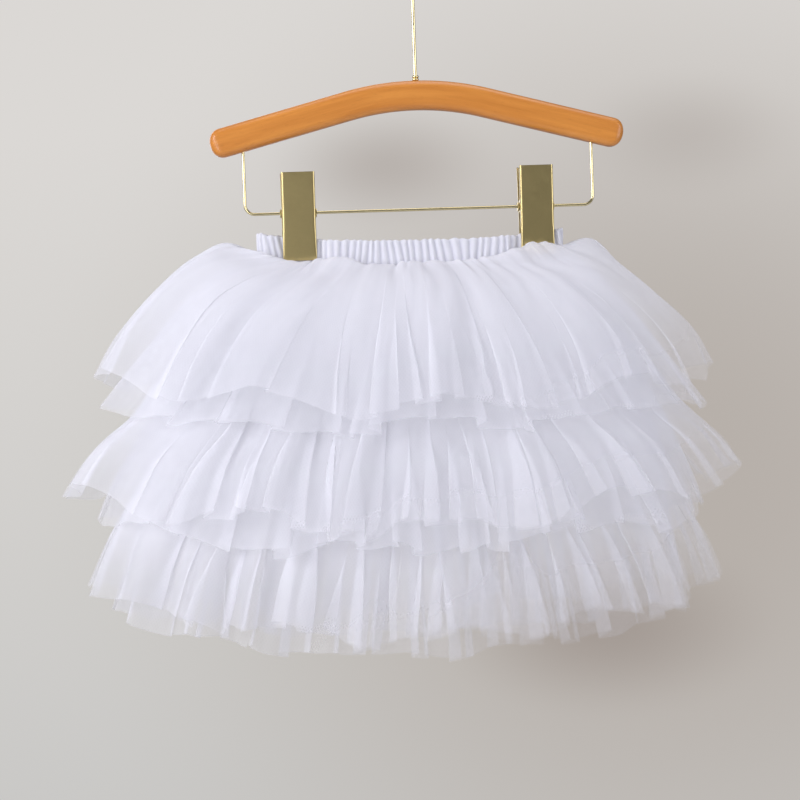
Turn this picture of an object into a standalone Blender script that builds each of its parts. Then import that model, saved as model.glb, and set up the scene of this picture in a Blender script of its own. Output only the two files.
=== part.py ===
"""A child's tiered tulle tutu, held at its waistband by the two clips of a wooden hanger.

Metres, +Z up. The front faces -Y. The origin is the inside top of the hanger's hook, where it hangs.
"""

import math

import bpy
import numpy as np

# Hanger, measured down from the inside top of the hook
BAR_TOP_Z = -0.095
BAR_HALF_LENGTH = 0.1505
BAR_HEIGHT = 0.0212
BAR_THICKNESS = 0.016
BAR_ARC_RADIUS = 0.207
BAR_ARM_SLOPE = math.radians(14.8)
BAR_END_RADIUS = 0.009
BAR_EDGE_RADIUS = 0.0055
WIRE_GAP = 0.0003

HOOK_WIRE = 0.0026
HOOK_INNER_RADIUS = 0.016
HOOK_JOIN_ANGLE = math.radians(80.0)
HOOK_TIP_ANGLE = math.radians(196.0)
HOOK_IN_BAR = 0.010
FERRULE_RADIUS = 0.0024
FERRULE_HEIGHT = 0.0040
FERRULE_RIM = 0.0004
DRILL_RUN_OUT = 0.008

RAIL_WIRE = 0.0022
RAIL_HALF_WIDTH = 0.1272
RAIL_Z = -0.1887
RAIL_CORNER_RADIUS = 0.007
RAIL_IN_BAR = 0.007

# Clips
CLIP_PLACES = {"left": -0.0886, "right": 0.0850}
CLIP_HALF_WIDTH = 0.0118
CLIP_TOP_Z = -0.1595
CLIP_BOTTOM_Z = -0.2213
CLIP_SHEET = 0.0008
CLIP_BEND_RADIUS = 0.0022
CLIP_JAW_Y = 0.0050
CLIP_RAIL_Y = 0.0080
CLIP_LUG_PAST_RAIL = 0.0024
CLIP_LUG_HALF_HEIGHT = 0.0028
CLIP_LUG_SHOULDER = 0.0027
CLIP_FLANGE = 0.0032
CLIP_TOP_FLANGE = 0.0018
CLIP_TAPER = 0.003
CLIP_JAW_FLANGE = 0.0012
CLIP_TIP_FLANGE = 0.0003
CLIP_ABOVE_BAND = 0.0025
EAR_HALF_HEIGHT = 0.003
EAR_ROOT_Y = 0.0056
EAR_END_Y = 0.0074
SPRING_RADIUS = 0.0045
SPRING_GROOVE = 0.0006
SPRING_WIRE = 0.0016
SPRING_TURNS = 5

# Waist
WAIST_CENTRE_X = -0.0057
WAIST_HALF_WIDTH = 0.1095
WAIST_HALF_DEPTH = 0.0053
WAIST_SQUARENESS = 3.0
WAIST_TOP_Z = -0.211
WAIST_END_RISE = 0.0065
WAIST_RISE_POWER = 3.0
WAIST_HEIGHT = 0.0155
GRIPPED_HALF_DEPTH = 0.0015
GRIP_X = 0.0868
GRIP_HALF_WIDTH = 0.0125
GRIP_FADE = 0.011
BAND_WALL = 0.0022
BAND_CROWN = 0.0004
GATHERS = 92
GATHER_DEPTH = 0.0006

# Cloth
TULLE_WALL = 0.0013
SEAM_GAP = 0.0003
SEAM_STEP = TULLE_WALL + SEAM_GAP
SEAM_DROP = 0.0012
TIER_SEAM_OUT = 0.0019
LAYERS_AT_WAIST = 3
LEAN = 0.04
SKIRT_SQUARENESS = 2.25
COLUMNS = 72
COLUMN_GROUP = 4

# Each cloth's sections below the waist, one row a section from the top down
# half_width, half_depth, z at the left, z at the right, z at front and back, how late the sides rise
BASE_ROWS = (
    (0.126, 0.020, -0.238, -0.240, -0.244, 2.0),
    (0.150, 0.037, -0.272, -0.275, -0.280, 2.0),
    (0.178, 0.056, -0.345, -0.347, -0.355, 2.0),
    (0.192, 0.070, -0.410, -0.412, -0.422, 2.0),
    (0.206, 0.090, -0.476, -0.484, -0.505, 2.0),
)
TIER_2_SEAM = BASE_ROWS[1]
TIER_3_SEAM = BASE_ROWS[2]
TIER_1_UNDER_ROWS = (
    (0.128, 0.024, -0.226, -0.230, -0.237, 4.0),
    (0.153, 0.046, -0.246, -0.254, -0.263, 2.0),
    (0.185, 0.068, -0.284, -0.292, -0.303, 2.0),
    (0.218, 0.090, -0.328, -0.334, -0.347, 2.0),
)
TIER_1_OUTER_ROWS = (
    (0.129, 0.026, -0.210, -0.213, -0.231, 6.0),
    (0.153, 0.050, -0.219, -0.232, -0.248, 4.0),
    (0.181, 0.072, -0.242, -0.256, -0.276, 2.0),
    (0.206, 0.088, -0.273, -0.284, -0.303, 2.0),
    (0.222, 0.100, -0.304, -0.314, -0.331, 2.0),
)
TIER_2_UNDER_ROWS = (
    (0.168, 0.052, -0.306, -0.308, -0.318, 2.0),
    (0.191, 0.072, -0.346, -0.348, -0.362, 2.0),
    (0.207, 0.090, -0.378, -0.382, -0.398, 2.0),
    (0.218, 0.104, -0.405, -0.411, -0.430, 2.0),
)
TIER_2_OUTER_ROWS = (
    (0.175, 0.058, -0.298, -0.300, -0.308, 2.0),
    (0.197, 0.072, -0.330, -0.332, -0.343, 2.0),
    (0.224, 0.098, -0.358, -0.356, -0.378, 2.0),
    (0.241, 0.117, -0.388, -0.382, -0.414, 2.0),
)
TIER_3_OUTER_ROWS = (
    (0.191, 0.068, -0.375, -0.376, -0.388, 2.0),
    (0.205, 0.084, -0.405, -0.407, -0.424, 2.0),
    (0.217, 0.101, -0.432, -0.435, -0.458, 2.0),
    (0.226, 0.112, -0.457, -0.463, -0.490, 2.0),
)

# Each layer's folds: columns a fold takes, half a fold's depth at the hem, sections left smooth at
# the top, scallops round the hem, their half height, sideways wander of the folds, seed
FOLDS = {
    "base_skirt": (4, 0.0060, 3, 9, 0.0025, 0.006, 11),
    "tier_1_under": (6, 0.0045, 0, 7, 0.0035, 0.008, 12),
    "tier_1_outer": (4, 0.0065, 0, 8, 0.0080, 0.008, 13),
    "tier_2_under": (6, 0.0060, 0, 7, 0.0045, 0.008, 14),
    "tier_2_outer": (4, 0.0070, 0, 9, 0.0070, 0.008, 15),
    "tier_3_outer": (3, 0.0060, 0, 10, 0.0045, 0.008, 16),
}
UNEVENNESS = 0.35

TULLE_WHITE = (0.86, 0.87, 0.92, 1.0)
JERSEY_WHITE = (0.90, 0.90, 0.93, 1.0)
BEECH_ORANGE = (0.63, 0.28, 0.07, 1.0)
BRASS_GOLD = (0.62, 0.50, 0.28, 1.0)
SPRING_STEEL = (0.55, 0.55, 0.54, 1.0)

CURVE_SAMPLES = 720


def clear_scene():
    """Removes what a new file holds."""
    for thing in list(bpy.data.objects):
        bpy.data.objects.remove(thing, do_unlink=True)


def new_collection(name):
    collection = bpy.data.collections.new(name)
    bpy.context.scene.collection.children.link(collection)
    return collection


def surface(name, colour, roughness, metallic=0.0):
    """A plain material with one colour and finish."""
    material = bpy.data.materials.new(name)
    material.use_nodes = True
    shader = material.node_tree.nodes["Principled BSDF"]
    shader.inputs["Base Color"].default_value = colour
    shader.inputs["Roughness"].default_value = roughness
    shader.inputs["Metallic"].default_value = metallic
    return material


def add_object(name, data, material, collection):
    """Links a mesh or curve as a named object with its own material."""
    data.materials.clear()
    data.materials.append(material)
    thing = bpy.data.objects.new(name, data)
    collection.objects.link(thing)
    return thing


def mesh_object(name, points, faces, material, collection):
    mesh = bpy.data.meshes.new(name)
    mesh.from_pydata([tuple(point) for point in points], [], faces)
    mesh.update()
    return add_object(name, mesh, material, collection)


def smooth_step(value):
    value = np.clip(value, 0.0, 1.0)
    return value * value * (3.0 - 2.0 * value)


# Level curves round the skirt

def curve_frame(x, y):
    """Spreads a closed curve's points evenly and gives each one's outward normal."""
    points = np.column_stack((x, y))
    closed = np.vstack((points, points[:1]))
    steps = np.linalg.norm(np.diff(closed, axis=0), axis=1)
    length = np.concatenate(([0.0], np.cumsum(steps)))
    even = np.linspace(0.0, length[-1], CURVE_SAMPLES, endpoint=False)
    points = np.column_stack([np.interp(even, length, closed[:, axis]) for axis in (0, 1)])
    along = np.roll(points, -1, axis=0) - np.roll(points, 1, axis=0)
    along /= np.linalg.norm(along, axis=1)[:, None]
    return points, np.column_stack((along[:, 1], -along[:, 0]))


def superellipse(half_width, half_depth, squareness):
    angle = np.linspace(0.0, 2.0 * math.pi, 4 * CURVE_SAMPLES, endpoint=False)
    across = np.cos(angle)
    deep = np.sin(angle)
    power = 2.0 / squareness
    x = half_width * np.sign(across) * np.abs(across) ** power
    y = half_depth * np.sign(deep) * np.abs(deep) ** power
    return x, y


def grip(x):
    """1 where a clip's jaws press the waist flat, 0 away from them."""
    from_grip = np.abs(np.abs(x) - GRIP_X)
    return 1.0 - smooth_step((from_grip - GRIP_HALF_WIDTH) / GRIP_FADE)


def waist_curve(out):
    """The waist's flattened opening, moved out by a distance."""
    x, y = superellipse(WAIST_HALF_WIDTH, WAIST_HALF_DEPTH, WAIST_SQUARENESS)
    x += WAIST_CENTRE_X
    held = np.sign(y) * np.minimum(np.abs(y), GRIPPED_HALF_DEPTH)
    y += (held - y) * grip(x)
    points, normals = curve_frame(x, y)
    points = points + normals * out
    return curve_frame(points[:, 0], points[:, 1])


def middle_x(row):
    """Where a section's middle is: the skirt leans a little to the left on its way down."""
    _, _, left_z, right_z, front_z, _ = row
    return WAIST_CENTRE_X + LEAN * (0.25 * (left_z + right_z + 2.0 * front_z) - WAIST_TOP_Z)


def skirt_curve(row):
    """The outline of a section from above."""
    x, y = superellipse(row[0], row[1], SKIRT_SQUARENESS)
    return curve_frame(x + middle_x(row), y)


def pick(frame, share):
    """Points and normals of a closed curve at shares of its length."""
    points, normals = frame
    place = np.mod(share, 1.0) * CURVE_SAMPLES
    low = np.floor(place).astype(int) % CURVE_SAMPLES
    high = (low + 1) % CURVE_SAMPLES
    part = (place - np.floor(place))[:, None]
    return (points[low] * (1.0 - part) + points[high] * part,
            normals[low] * (1.0 - part) + normals[high] * part)


def uneven_columns(folds, columns, seed):
    """Shares of the way round at which columns of points stand, spaced unevenly fold by fold."""
    chance = np.random.default_rng(seed)
    widths = 1.0 + UNEVENNESS * chance.uniform(-1.0, 1.0, folds)
    widths = widths / widths.sum()
    starts = np.concatenate(([0.0], np.cumsum(widths)))[:-1]
    steps = (np.arange(columns) + 0.5) / columns
    return (starts[:, None] + widths[:, None] * steps[None, :]).ravel()


def fold_relief(folds, columns, seed):
    """How far out each column stands, from -1 in a trough to 1 on a crest, stronger in some folds."""
    chance = np.random.default_rng(seed)
    steps = (np.arange(columns) + 0.5) / columns
    wave = np.sin(2.0 * math.pi * steps)
    strength = 1.0 + UNEVENNESS * chance.uniform(-1.0, 0.6, folds)
    return (strength[:, None] * (wave / np.abs(wave).max())[None, :]).ravel()


def waist_z(x):
    """Height of the waistband's top edge, which rises towards its ends."""
    outwards = np.abs(x - WAIST_CENTRE_X) / WAIST_HALF_WIDTH
    return WAIST_TOP_Z + WAIST_END_RISE * outwards ** WAIST_RISE_POWER


def sloped_z(x, row):
    """Height round a section, from its front's to its two sides'."""
    half_width, _, left_z, right_z, front_z, lateness = row
    from_middle = x - middle_x(row)
    side_z = np.where(from_middle < 0.0, left_z, right_z)
    outwards = np.minimum(1.0, np.abs(from_middle) / half_width)
    return front_z + (side_z - front_z) * outwards ** lateness


# Cloth pieces

def tulle_layer(name, first_ring, rows, material, collection):
    """One gathered layer of tulle: an open tube through its sections, thickened to a wall."""
    fold_columns, fold_depth, smooth_rows, scallops, scallop_height, wander, seed = FOLDS[name]
    share = uneven_columns(COLUMNS // COLUMN_GROUP, COLUMN_GROUP, 3)
    relief = fold_relief(COLUMNS // fold_columns, fold_columns, seed)
    rings = [first_ring(share)]
    for index, row in enumerate(rows):
        down = max(0, index + 1 - smooth_rows) / (len(rows) - smooth_rows)
        moved = share + wander * down * np.sin(6.0 * math.pi * share + seed)
        level, normals = pick(skirt_curve(row), moved)
        level = level + normals * (fold_depth * down * relief)[:, None]
        z = sloped_z(level[:, 0], row)
        z = z + scallop_height * down ** 2 * np.sin(2.0 * math.pi * scallops * moved + seed)
        rings.append(np.column_stack((level, z)))
    faces = []
    for ring in range(len(rings) - 1):
        for column in range(COLUMNS):
            here = ring * COLUMNS + column
            there = ring * COLUMNS + (column + 1) % COLUMNS
            faces.append((here + COLUMNS, there + COLUMNS, there, here))
    cloth = mesh_object(name, np.vstack(rings), faces, material, collection)
    wall = cloth.modifiers.new("Wall", "SOLIDIFY")
    wall.thickness = TULLE_WALL
    wall.offset = 0.0
    cloth.data.shade_smooth()
    return cloth


def sewn_at_waist(layers_outside):
    """First ring of a layer sewn to the waistband's lower edge, inside and below the outer ones."""
    out = 0.5 * TULLE_WALL + (LAYERS_AT_WAIST - 1 - layers_outside) * SEAM_STEP
    below = SEAM_GAP + 0.5 * TULLE_WALL + layers_outside * SEAM_DROP

    def ring(share):
        level, _ = pick(waist_curve(out), share)
        z = waist_z(level[:, 0]) - WAIST_HEIGHT - below
        return np.column_stack((level, z))
    return ring


def sewn_on_base(row, next_row, part):
    """First ring of a tier that is sewn on the base skirt, part of the way between two sections."""
    seam = tuple(here + (there - here) * part for here, there in zip(row, next_row))

    def ring(share):
        points, normals = pick(skirt_curve(seam), share)
        return np.column_stack((points + normals * TIER_SEAM_OUT, sloped_z(points[:, 0], seam)))
    return ring


def waistband(material, collection):
    """Gathered casing: ribs raised in the outer points over a plain inside."""
    share = uneven_columns(GATHERS, COLUMN_GROUP, 5)
    outer, normals = pick(waist_curve(BAND_WALL), share)
    gathered = outer + normals * (GATHER_DEPTH * fold_relief(GATHERS, COLUMN_GROUP, 5))[:, None]
    heights = (0.0, 0.5, 1.0)
    points = []
    for height in heights:
        crown = BAND_CROWN * (1.0 - (2.0 * height - 1.0) ** 2)
        level = gathered + normals * (crown - BAND_CROWN)
        z = waist_z(outer[:, 0]) - WAIST_HEIGHT * (1.0 - height)
        points.append(np.column_stack((level, z)))
    inner_share = share[COLUMN_GROUP // 2::COLUMN_GROUP]
    inner, _ = pick(waist_curve(0.0), inner_share)
    for height in (0.0, 1.0):
        z = waist_z(inner[:, 0]) - WAIST_HEIGHT * (1.0 - height)
        points.append(np.column_stack((inner, z)))
    columns = len(share)
    inside = len(heights) * columns
    faces = []
    for ring in range(len(heights) - 1):
        for column in range(columns):
            here = ring * columns + column
            there = ring * columns + (column + 1) % columns
            faces.append((here, there, there + columns, here + columns))
    for rib in range(GATHERS):
        near = inside + rib
        far = inside + (rib + 1) % GATHERS
        faces.append((far, near, near + GATHERS, far + GATHERS))
        first = COLUMN_GROUP * rib + COLUMN_GROUP // 2
        rim = [(first + step) % columns for step in range(COLUMN_GROUP + 1)]
        middle = COLUMN_GROUP // 2
        top = (len(heights) - 1) * columns
        for step in range(COLUMN_GROUP):
            inside_point = near if step < middle else far
            faces.append((rim[step + 1], rim[step], inside_point))
            faces.append((top + rim[step], top + rim[step + 1], inside_point + GATHERS))
        faces.append((rim[middle], near, far))
        faces.append((top + rim[middle], far + GATHERS, near + GATHERS))
    band = mesh_object("waistband", np.vstack(points), faces, material, collection)
    band.data.shade_smooth()
    return band


# Hanger

def arc(centre, radius, start, end, steps):
    """Points on an arc in the XZ plane, ends included."""
    return [(centre[0] + radius * math.cos(angle), centre[1] + radius * math.sin(angle))
            for angle in np.linspace(start, end, steps)]


def arm_point(along, down):
    """A point of the right arm, along its top edge from where the arc ends, and down from it."""
    start_x = BAR_ARC_RADIUS * math.sin(BAR_ARM_SLOPE)
    start_z = BAR_TOP_Z - BAR_ARC_RADIUS * (1.0 - math.cos(BAR_ARM_SLOPE))
    x = start_x + along * math.cos(BAR_ARM_SLOPE) - down * math.sin(BAR_ARM_SLOPE)
    z = start_z - along * math.sin(BAR_ARM_SLOPE) - down * math.cos(BAR_ARM_SLOPE)
    return x, z


def arm_length():
    """Length of an arm's straight part, so that the bar's end is at its half length."""
    start_x = BAR_ARC_RADIUS * math.sin(BAR_ARM_SLOPE)
    tip_down = 0.5 * BAR_HEIGHT * math.sin(BAR_ARM_SLOPE)
    return (BAR_HALF_LENGTH - start_x + tip_down) / math.cos(BAR_ARM_SLOPE)


def bar_underside_z(x):
    """Height of the bar's lower edge on its straight arms."""
    at_x, at_z = arm_point(0.0, BAR_HEIGHT)
    return at_z - (abs(x) - at_x) * math.tan(BAR_ARM_SLOPE)


def bar_outline():
    """The bar seen from the front, round once."""
    centre = (0.0, BAR_TOP_Z - BAR_ARC_RADIUS)
    upright = 0.5 * math.pi
    top = arc(centre, BAR_ARC_RADIUS, upright, upright - BAR_ARM_SLOPE, 5)
    bottom = arc(centre, BAR_ARC_RADIUS - BAR_HEIGHT, upright - BAR_ARM_SLOPE, upright, 5)
    length = arm_length()
    radius = BAR_END_RADIUS
    upper = arc(arm_point(length - radius, radius), radius,
                upright - BAR_ARM_SLOPE, -BAR_ARM_SLOPE, 5)
    lower = arc(arm_point(length - radius, BAR_HEIGHT - radius), radius,
                -BAR_ARM_SLOPE, -upright - BAR_ARM_SLOPE, 5)
    right = top + upper + lower + bottom
    left = [(-x, z) for x, z in reversed(right)]
    return right + left[1:-1]


def cutter_cylinder(name, radius, start, end, collection):
    """A drill between two points along one axis, left out of the part."""
    start = np.array(start)
    end = np.array(end)
    length = float(np.linalg.norm(end - start))
    bpy.ops.mesh.primitive_cylinder_add(vertices=16, radius=radius, depth=length,
                                        location=tuple(0.5 * (start + end)))
    drill = bpy.context.object
    drill.name = name
    run = np.abs(end - start)
    if run.argmax() == 0:
        drill.rotation_euler = (0.0, 0.5 * math.pi, 0.0)
    elif run.argmax() == 1:
        drill.rotation_euler = (0.5 * math.pi, 0.0, 0.0)
    drill.hide_render = True
    drill.display_type = "WIRE"
    for owner in list(drill.users_collection):
        owner.objects.unlink(drill)
    collection.objects.link(drill)
    return drill


def cut(thing, cutter, operation="DIFFERENCE"):
    boolean = thing.modifiers.new(cutter.name, "BOOLEAN")
    boolean.operation = operation
    boolean.object = cutter


def hanger_bar(material, collection, cutters):
    """Bowed bar with rounded edges and the holes that its wires sit in."""
    outline = bar_outline()
    points = [(x, 0.0, z) for x, z in outline]
    bar = mesh_object("hanger_bar", points, [tuple(range(len(points)))], material, collection)
    thick = bar.modifiers.new("Thickness", "SOLIDIFY")
    thick.thickness = BAR_THICKNESS
    thick.offset = 0.0
    rounded = bar.modifiers.new("Edges", "BEVEL")
    rounded.width = BAR_EDGE_RADIUS
    rounded.segments = 3
    rounded.limit_method = "ANGLE"
    rounded.angle_limit = math.radians(50.0)
    hook_hole = cutter_cylinder(
        "hook_hole", 0.5 * HOOK_WIRE + WIRE_GAP,
        (0.0, 0.0, BAR_TOP_Z + DRILL_RUN_OUT),
        (0.0, 0.0, BAR_TOP_Z - HOOK_IN_BAR - WIRE_GAP), cutters)
    cut(bar, hook_hole)
    for side, x in (("left", -RAIL_HALF_WIDTH), ("right", RAIL_HALF_WIDTH)):
        underside = bar_underside_z(x)
        hole = cutter_cylinder(
            "rail_hole_" + side, 0.5 * RAIL_WIRE + WIRE_GAP,
            (x, 0.0, underside - DRILL_RUN_OUT),
            (x, 0.0, underside + RAIL_IN_BAR + WIRE_GAP), cutters)
        cut(bar, hole)
    return bar


def wire(name, points, diameter, material, collection):
    """A round wire through its points."""
    curve = bpy.data.curves.new(name, "CURVE")
    curve.dimensions = "3D"
    curve.bevel_depth = 0.5 * diameter
    curve.bevel_resolution = 2
    curve.use_fill_caps = True
    spline = curve.splines.new("POLY")
    spline.points.add(len(points) - 1)
    for point, (x, z) in zip(spline.points, points):
        point.co = (x, 0.0, z, 1.0)
    return add_object(name, curve, material, collection)


def hook(material, collection):
    """Straight stem, a tight bend to the right and an open curl over to the left."""
    radius = HOOK_INNER_RADIUS + 0.5 * HOOK_WIRE
    centre = (0.0, -HOOK_INNER_RADIUS)
    join = HOOK_JOIN_ANGLE
    bend = radius * math.cos(join) / (1.0 - math.cos(join))
    bend_z = centre[1] - (radius + bend) * math.sin(join)
    points = [(0.0, BAR_TOP_Z - HOOK_IN_BAR)]
    points += arc((bend, bend_z), bend, math.pi, math.pi - join, 6)
    points += arc(centre, radius, -join, HOOK_TIP_ANGLE, 22)[1:]
    return wire("hook", points, HOOK_WIRE, material, collection)


def clip_rail(material, collection):
    """Wire trapeze: down from one arm, across under the bar and up into the other."""
    radius = RAIL_CORNER_RADIUS
    leg_top = bar_underside_z(RAIL_HALF_WIDTH) + RAIL_IN_BAR
    corner = RAIL_HALF_WIDTH - radius
    points = [(-RAIL_HALF_WIDTH, leg_top)]
    points += arc((-corner, RAIL_Z + radius), radius, math.pi, 1.5 * math.pi, 5)
    points += arc((corner, RAIL_Z + radius), radius, 1.5 * math.pi, 2.0 * math.pi, 5)
    points += [(RAIL_HALF_WIDTH, leg_top)]
    return wire("clip_rail", points, RAIL_WIRE, material, collection)


def turned(name, profile, steps, material, collection):
    """A ring turned about its own Z axis from a closed profile of radius and height."""
    mesh = bpy.data.meshes.new(name)
    points = [(radius, 0.0, height) for radius, height in profile]
    edges = [(index, (index + 1) % len(points)) for index in range(len(points))]
    mesh.from_pydata(points, edges, [])
    ring = add_object(name, mesh, material, collection)
    screw = ring.modifiers.new("Turn", "SCREW")
    screw.steps = steps
    screw.render_steps = steps
    screw.use_merge_vertices = True
    screw.merge_threshold = 0.00001
    return ring


def hook_ferrule(material, collection):
    """Small collar with a round rim that sits on the bar round the hook."""
    inside = 0.5 * HOOK_WIRE + WIRE_GAP
    neck = inside + FERRULE_RIM
    half = 0.5 * FERRULE_HEIGHT
    shoulder = 0.4 * half
    profile = [(neck, half), (FERRULE_RADIUS, shoulder), (FERRULE_RADIUS, -shoulder),
               (neck, -half), (inside, -half), (inside, half)]
    ferrule = turned("hook_ferrule", profile, 14, material, collection)
    ferrule.location = (0.0, 0.0, BAR_TOP_Z + WIRE_GAP + half)
    return ferrule


def clip_lean():
    """Angle by which a plate leans out from its jaw to its top."""
    return math.atan2(CLIP_RAIL_Y - CLIP_JAW_Y, RAIL_Z - CLIP_BOTTOM_Z)


def clip_sheet(name, centre_x, side, lug_depth, material, collection):
    """A pressed plate with folded side flanges, on the side of the wire that side gives."""
    lean = clip_lean()
    top = (CLIP_TOP_Z - RAIL_Z) / math.cos(lean)
    bottom = (CLIP_BOTTOM_Z - RAIL_Z) / math.cos(lean)
    above_band = waist_z(centre_x) + CLIP_ABOVE_BAND - RAIL_Z
    lug = CLIP_LUG_HALF_HEIGHT
    shoulder = lug + CLIP_LUG_SHOULDER
    # height above the wire, depth of the side flanges
    rows = ((top, CLIP_TOP_FLANGE), (top - CLIP_TAPER, CLIP_FLANGE), (shoulder, CLIP_FLANGE),
            (lug, lug_depth), (-lug, lug_depth), (-shoulder, CLIP_FLANGE),
            (above_band + 2.0 * CLIP_TAPER, CLIP_FLANGE), (above_band, CLIP_JAW_FLANGE),
            (bottom, CLIP_TIP_FLANGE))
    points = []
    for height, depth in rows:
        radius = min(CLIP_BEND_RADIUS, 0.6 * depth)
        half = [(CLIP_HALF_WIDTH, depth)]
        half += [(CLIP_HALF_WIDTH - radius + radius * math.cos(turn),
                  radius - radius * math.sin(turn)) for turn in (0.0, math.pi / 4.0, math.pi / 2.0)]
        across = [(-x, y) for x, y in half] + [(x, y) for x, y in reversed(half)]
        for x, depth_in in across:
            y = -CLIP_RAIL_Y + depth_in
            points.append((x, side * (y - height * math.tan(lean)), height * math.cos(lean)))
    columns = len(points) // len(rows)
    faces = []
    for row in range(len(rows) - 1):
        for column in range(columns - 1):
            here = row * columns + column
            face = (here, here + columns, here + columns + 1, here + 1)
            faces.append(face if side > 0 else face[::-1])
    plate = mesh_object(name, points, faces, material, collection)
    wall = plate.modifiers.new("Sheet", "SOLIDIFY")
    wall.thickness = CLIP_SHEET
    wall.offset = 0.0
    return plate


def clip_ear(name, side, material, collection):
    """Tab that holds a back plate on the wire, outside the front plate's flange."""
    inner = CLIP_HALF_WIDTH + 0.5 * CLIP_SHEET + WIRE_GAP
    outer = inner + CLIP_SHEET
    front = -CLIP_LUG_PAST_RAIL
    outline = ((inner, front), (outer, front), (outer, EAR_END_Y), (CLIP_HALF_WIDTH, EAR_END_Y),
               (CLIP_HALF_WIDTH, EAR_ROOT_Y), (inner, EAR_ROOT_Y))
    points = [(side * x, y, 0.0) for x, y in outline]
    order = range(len(points)) if side > 0 else reversed(range(len(points)))
    ear = mesh_object(name, points, [tuple(order)], material, collection)
    thick = ear.modifiers.new("Height", "SOLIDIFY")
    thick.thickness = 2.0 * EAR_HALF_HEIGHT
    thick.offset = 0.0
    ear.hide_render = True
    ear.display_type = "WIRE"
    return ear


def spring_profile():
    """Closely wound turns as a ridged sleeve round the wire."""
    half = 0.5 * SPRING_TURNS * SPRING_WIRE
    inside = 0.5 * RAIL_WIRE + WIRE_GAP
    profile = []
    for step in range(2 * SPRING_TURNS + 1):
        dip = 0.0 if step % 2 else SPRING_GROOVE
        profile.append((SPRING_RADIUS - dip, half - 0.5 * SPRING_WIRE * step))
    return profile + [(inside, -half), (inside, half)]


def clip(side_name, centre_x, sheet, steel, collection, cutters):
    """Two plates hinged on the rail and the spring between them."""
    place = (centre_x, 0.0, RAIL_Z)
    front = clip_sheet("clip_" + side_name + "_front", centre_x, 1.0,
                       CLIP_RAIL_Y + CLIP_LUG_PAST_RAIL, sheet, collection)
    back = clip_sheet("clip_" + side_name + "_back", centre_x, -1.0, CLIP_FLANGE, sheet, collection)
    reach = 2.0 * CLIP_HALF_WIDTH
    bore = cutter_cylinder("bore_" + side_name, 0.5 * RAIL_WIRE + WIRE_GAP,
                           (centre_x - reach, 0.0, RAIL_Z), (centre_x + reach, 0.0, RAIL_Z), cutters)
    for ear_side, ear_name in ((-1.0, "a"), (1.0, "b")):
        ear = clip_ear("ear_" + side_name + "_" + ear_name, ear_side, sheet, cutters)
        ear.location = place
        cut(back, ear, "UNION")
    for plate in (front, back):
        plate.location = place
        cut(plate, bore)
    spring = turned("clip_" + side_name + "_spring", spring_profile(), 12, steel, collection)
    spring.location = place
    spring.rotation_euler = (0.0, 0.5 * math.pi, 0.0)


def build():
    clear_scene()
    part = new_collection("tutu_on_hanger")
    cutters = new_collection("cutters")
    jersey = surface("white jersey", JERSEY_WHITE, 0.8)
    beech = surface("varnished beech", BEECH_ORANGE, 0.35)
    brass = surface("brass-plated wire", BRASS_GOLD, 0.25, 1.0)
    sheet = surface("brass-plated sheet steel", BRASS_GOLD, 0.35, 1.0)
    steel = surface("spring steel", SPRING_STEEL, 0.35, 1.0)

    waistband(jersey, part)
    layers = (
        ("base_skirt", sewn_at_waist(2), BASE_ROWS),
        ("tier_1_under", sewn_at_waist(1), TIER_1_UNDER_ROWS),
        ("tier_1_outer", sewn_at_waist(0), TIER_1_OUTER_ROWS),
        ("tier_2_under", sewn_on_base(TIER_2_SEAM, TIER_3_SEAM, 0.10), TIER_2_UNDER_ROWS),
        ("tier_2_outer", sewn_on_base(TIER_2_SEAM, TIER_3_SEAM, 0.0), TIER_2_OUTER_ROWS),
        ("tier_3_outer", sewn_on_base(TIER_3_SEAM, BASE_ROWS[3], 0.0), TIER_3_OUTER_ROWS),
    )
    for name, first_ring, rows in layers:
        tulle = surface("white tulle, " + name.replace("_", " "), TULLE_WHITE, 0.7)
        tulle_layer(name, first_ring, rows, tulle, part)

    hanger_bar(beech, part, cutters)
    hook(brass, part)
    hook_ferrule(brass, part)
    clip_rail(brass, part)
    for side_name, centre_x in CLIP_PLACES.items():
        clip(side_name, centre_x, sheet, steel, part, cutters)


build()
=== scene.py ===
"""Finish for a child's tiered tulle tutu that hangs from a wooden clip hanger.

It is laid out as an add-on and run as a script. Metres, +Z up, the front faces -Y.
The origin is the inside top of the hanger's hook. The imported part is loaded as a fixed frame,
and every piece here stands for one or more of its solids.
"""

import math
from collections import namedtuple

import bmesh
import bpy
import numpy as np
from mathutils import Matrix, Vector


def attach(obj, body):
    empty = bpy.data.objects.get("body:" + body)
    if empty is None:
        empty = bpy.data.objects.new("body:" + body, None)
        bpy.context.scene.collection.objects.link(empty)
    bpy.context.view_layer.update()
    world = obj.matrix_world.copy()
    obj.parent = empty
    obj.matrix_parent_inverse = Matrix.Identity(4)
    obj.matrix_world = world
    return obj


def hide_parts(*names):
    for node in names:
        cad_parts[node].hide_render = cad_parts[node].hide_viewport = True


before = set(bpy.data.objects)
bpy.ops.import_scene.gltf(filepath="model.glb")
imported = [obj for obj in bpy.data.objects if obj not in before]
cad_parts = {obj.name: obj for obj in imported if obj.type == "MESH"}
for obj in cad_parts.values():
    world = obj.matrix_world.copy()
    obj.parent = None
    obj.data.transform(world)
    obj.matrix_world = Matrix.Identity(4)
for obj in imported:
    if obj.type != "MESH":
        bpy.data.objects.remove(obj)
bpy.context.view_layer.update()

bl_info = {
    "name": "Tulle tutu on a clip hanger",
    "version": (1, 0, 0),
    "blender": (4, 5, 0),
    "location": "3D View > Sidebar > Tutu",
    "description": "Makes the cloth, the hanger, the light and the camera of a tutu on its hanger",
    "category": "Object",
}

MM = 0.001
PHOTO_PIXELS = 800
PHOTO_PIXELS_A_METRE = 1373.0

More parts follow.
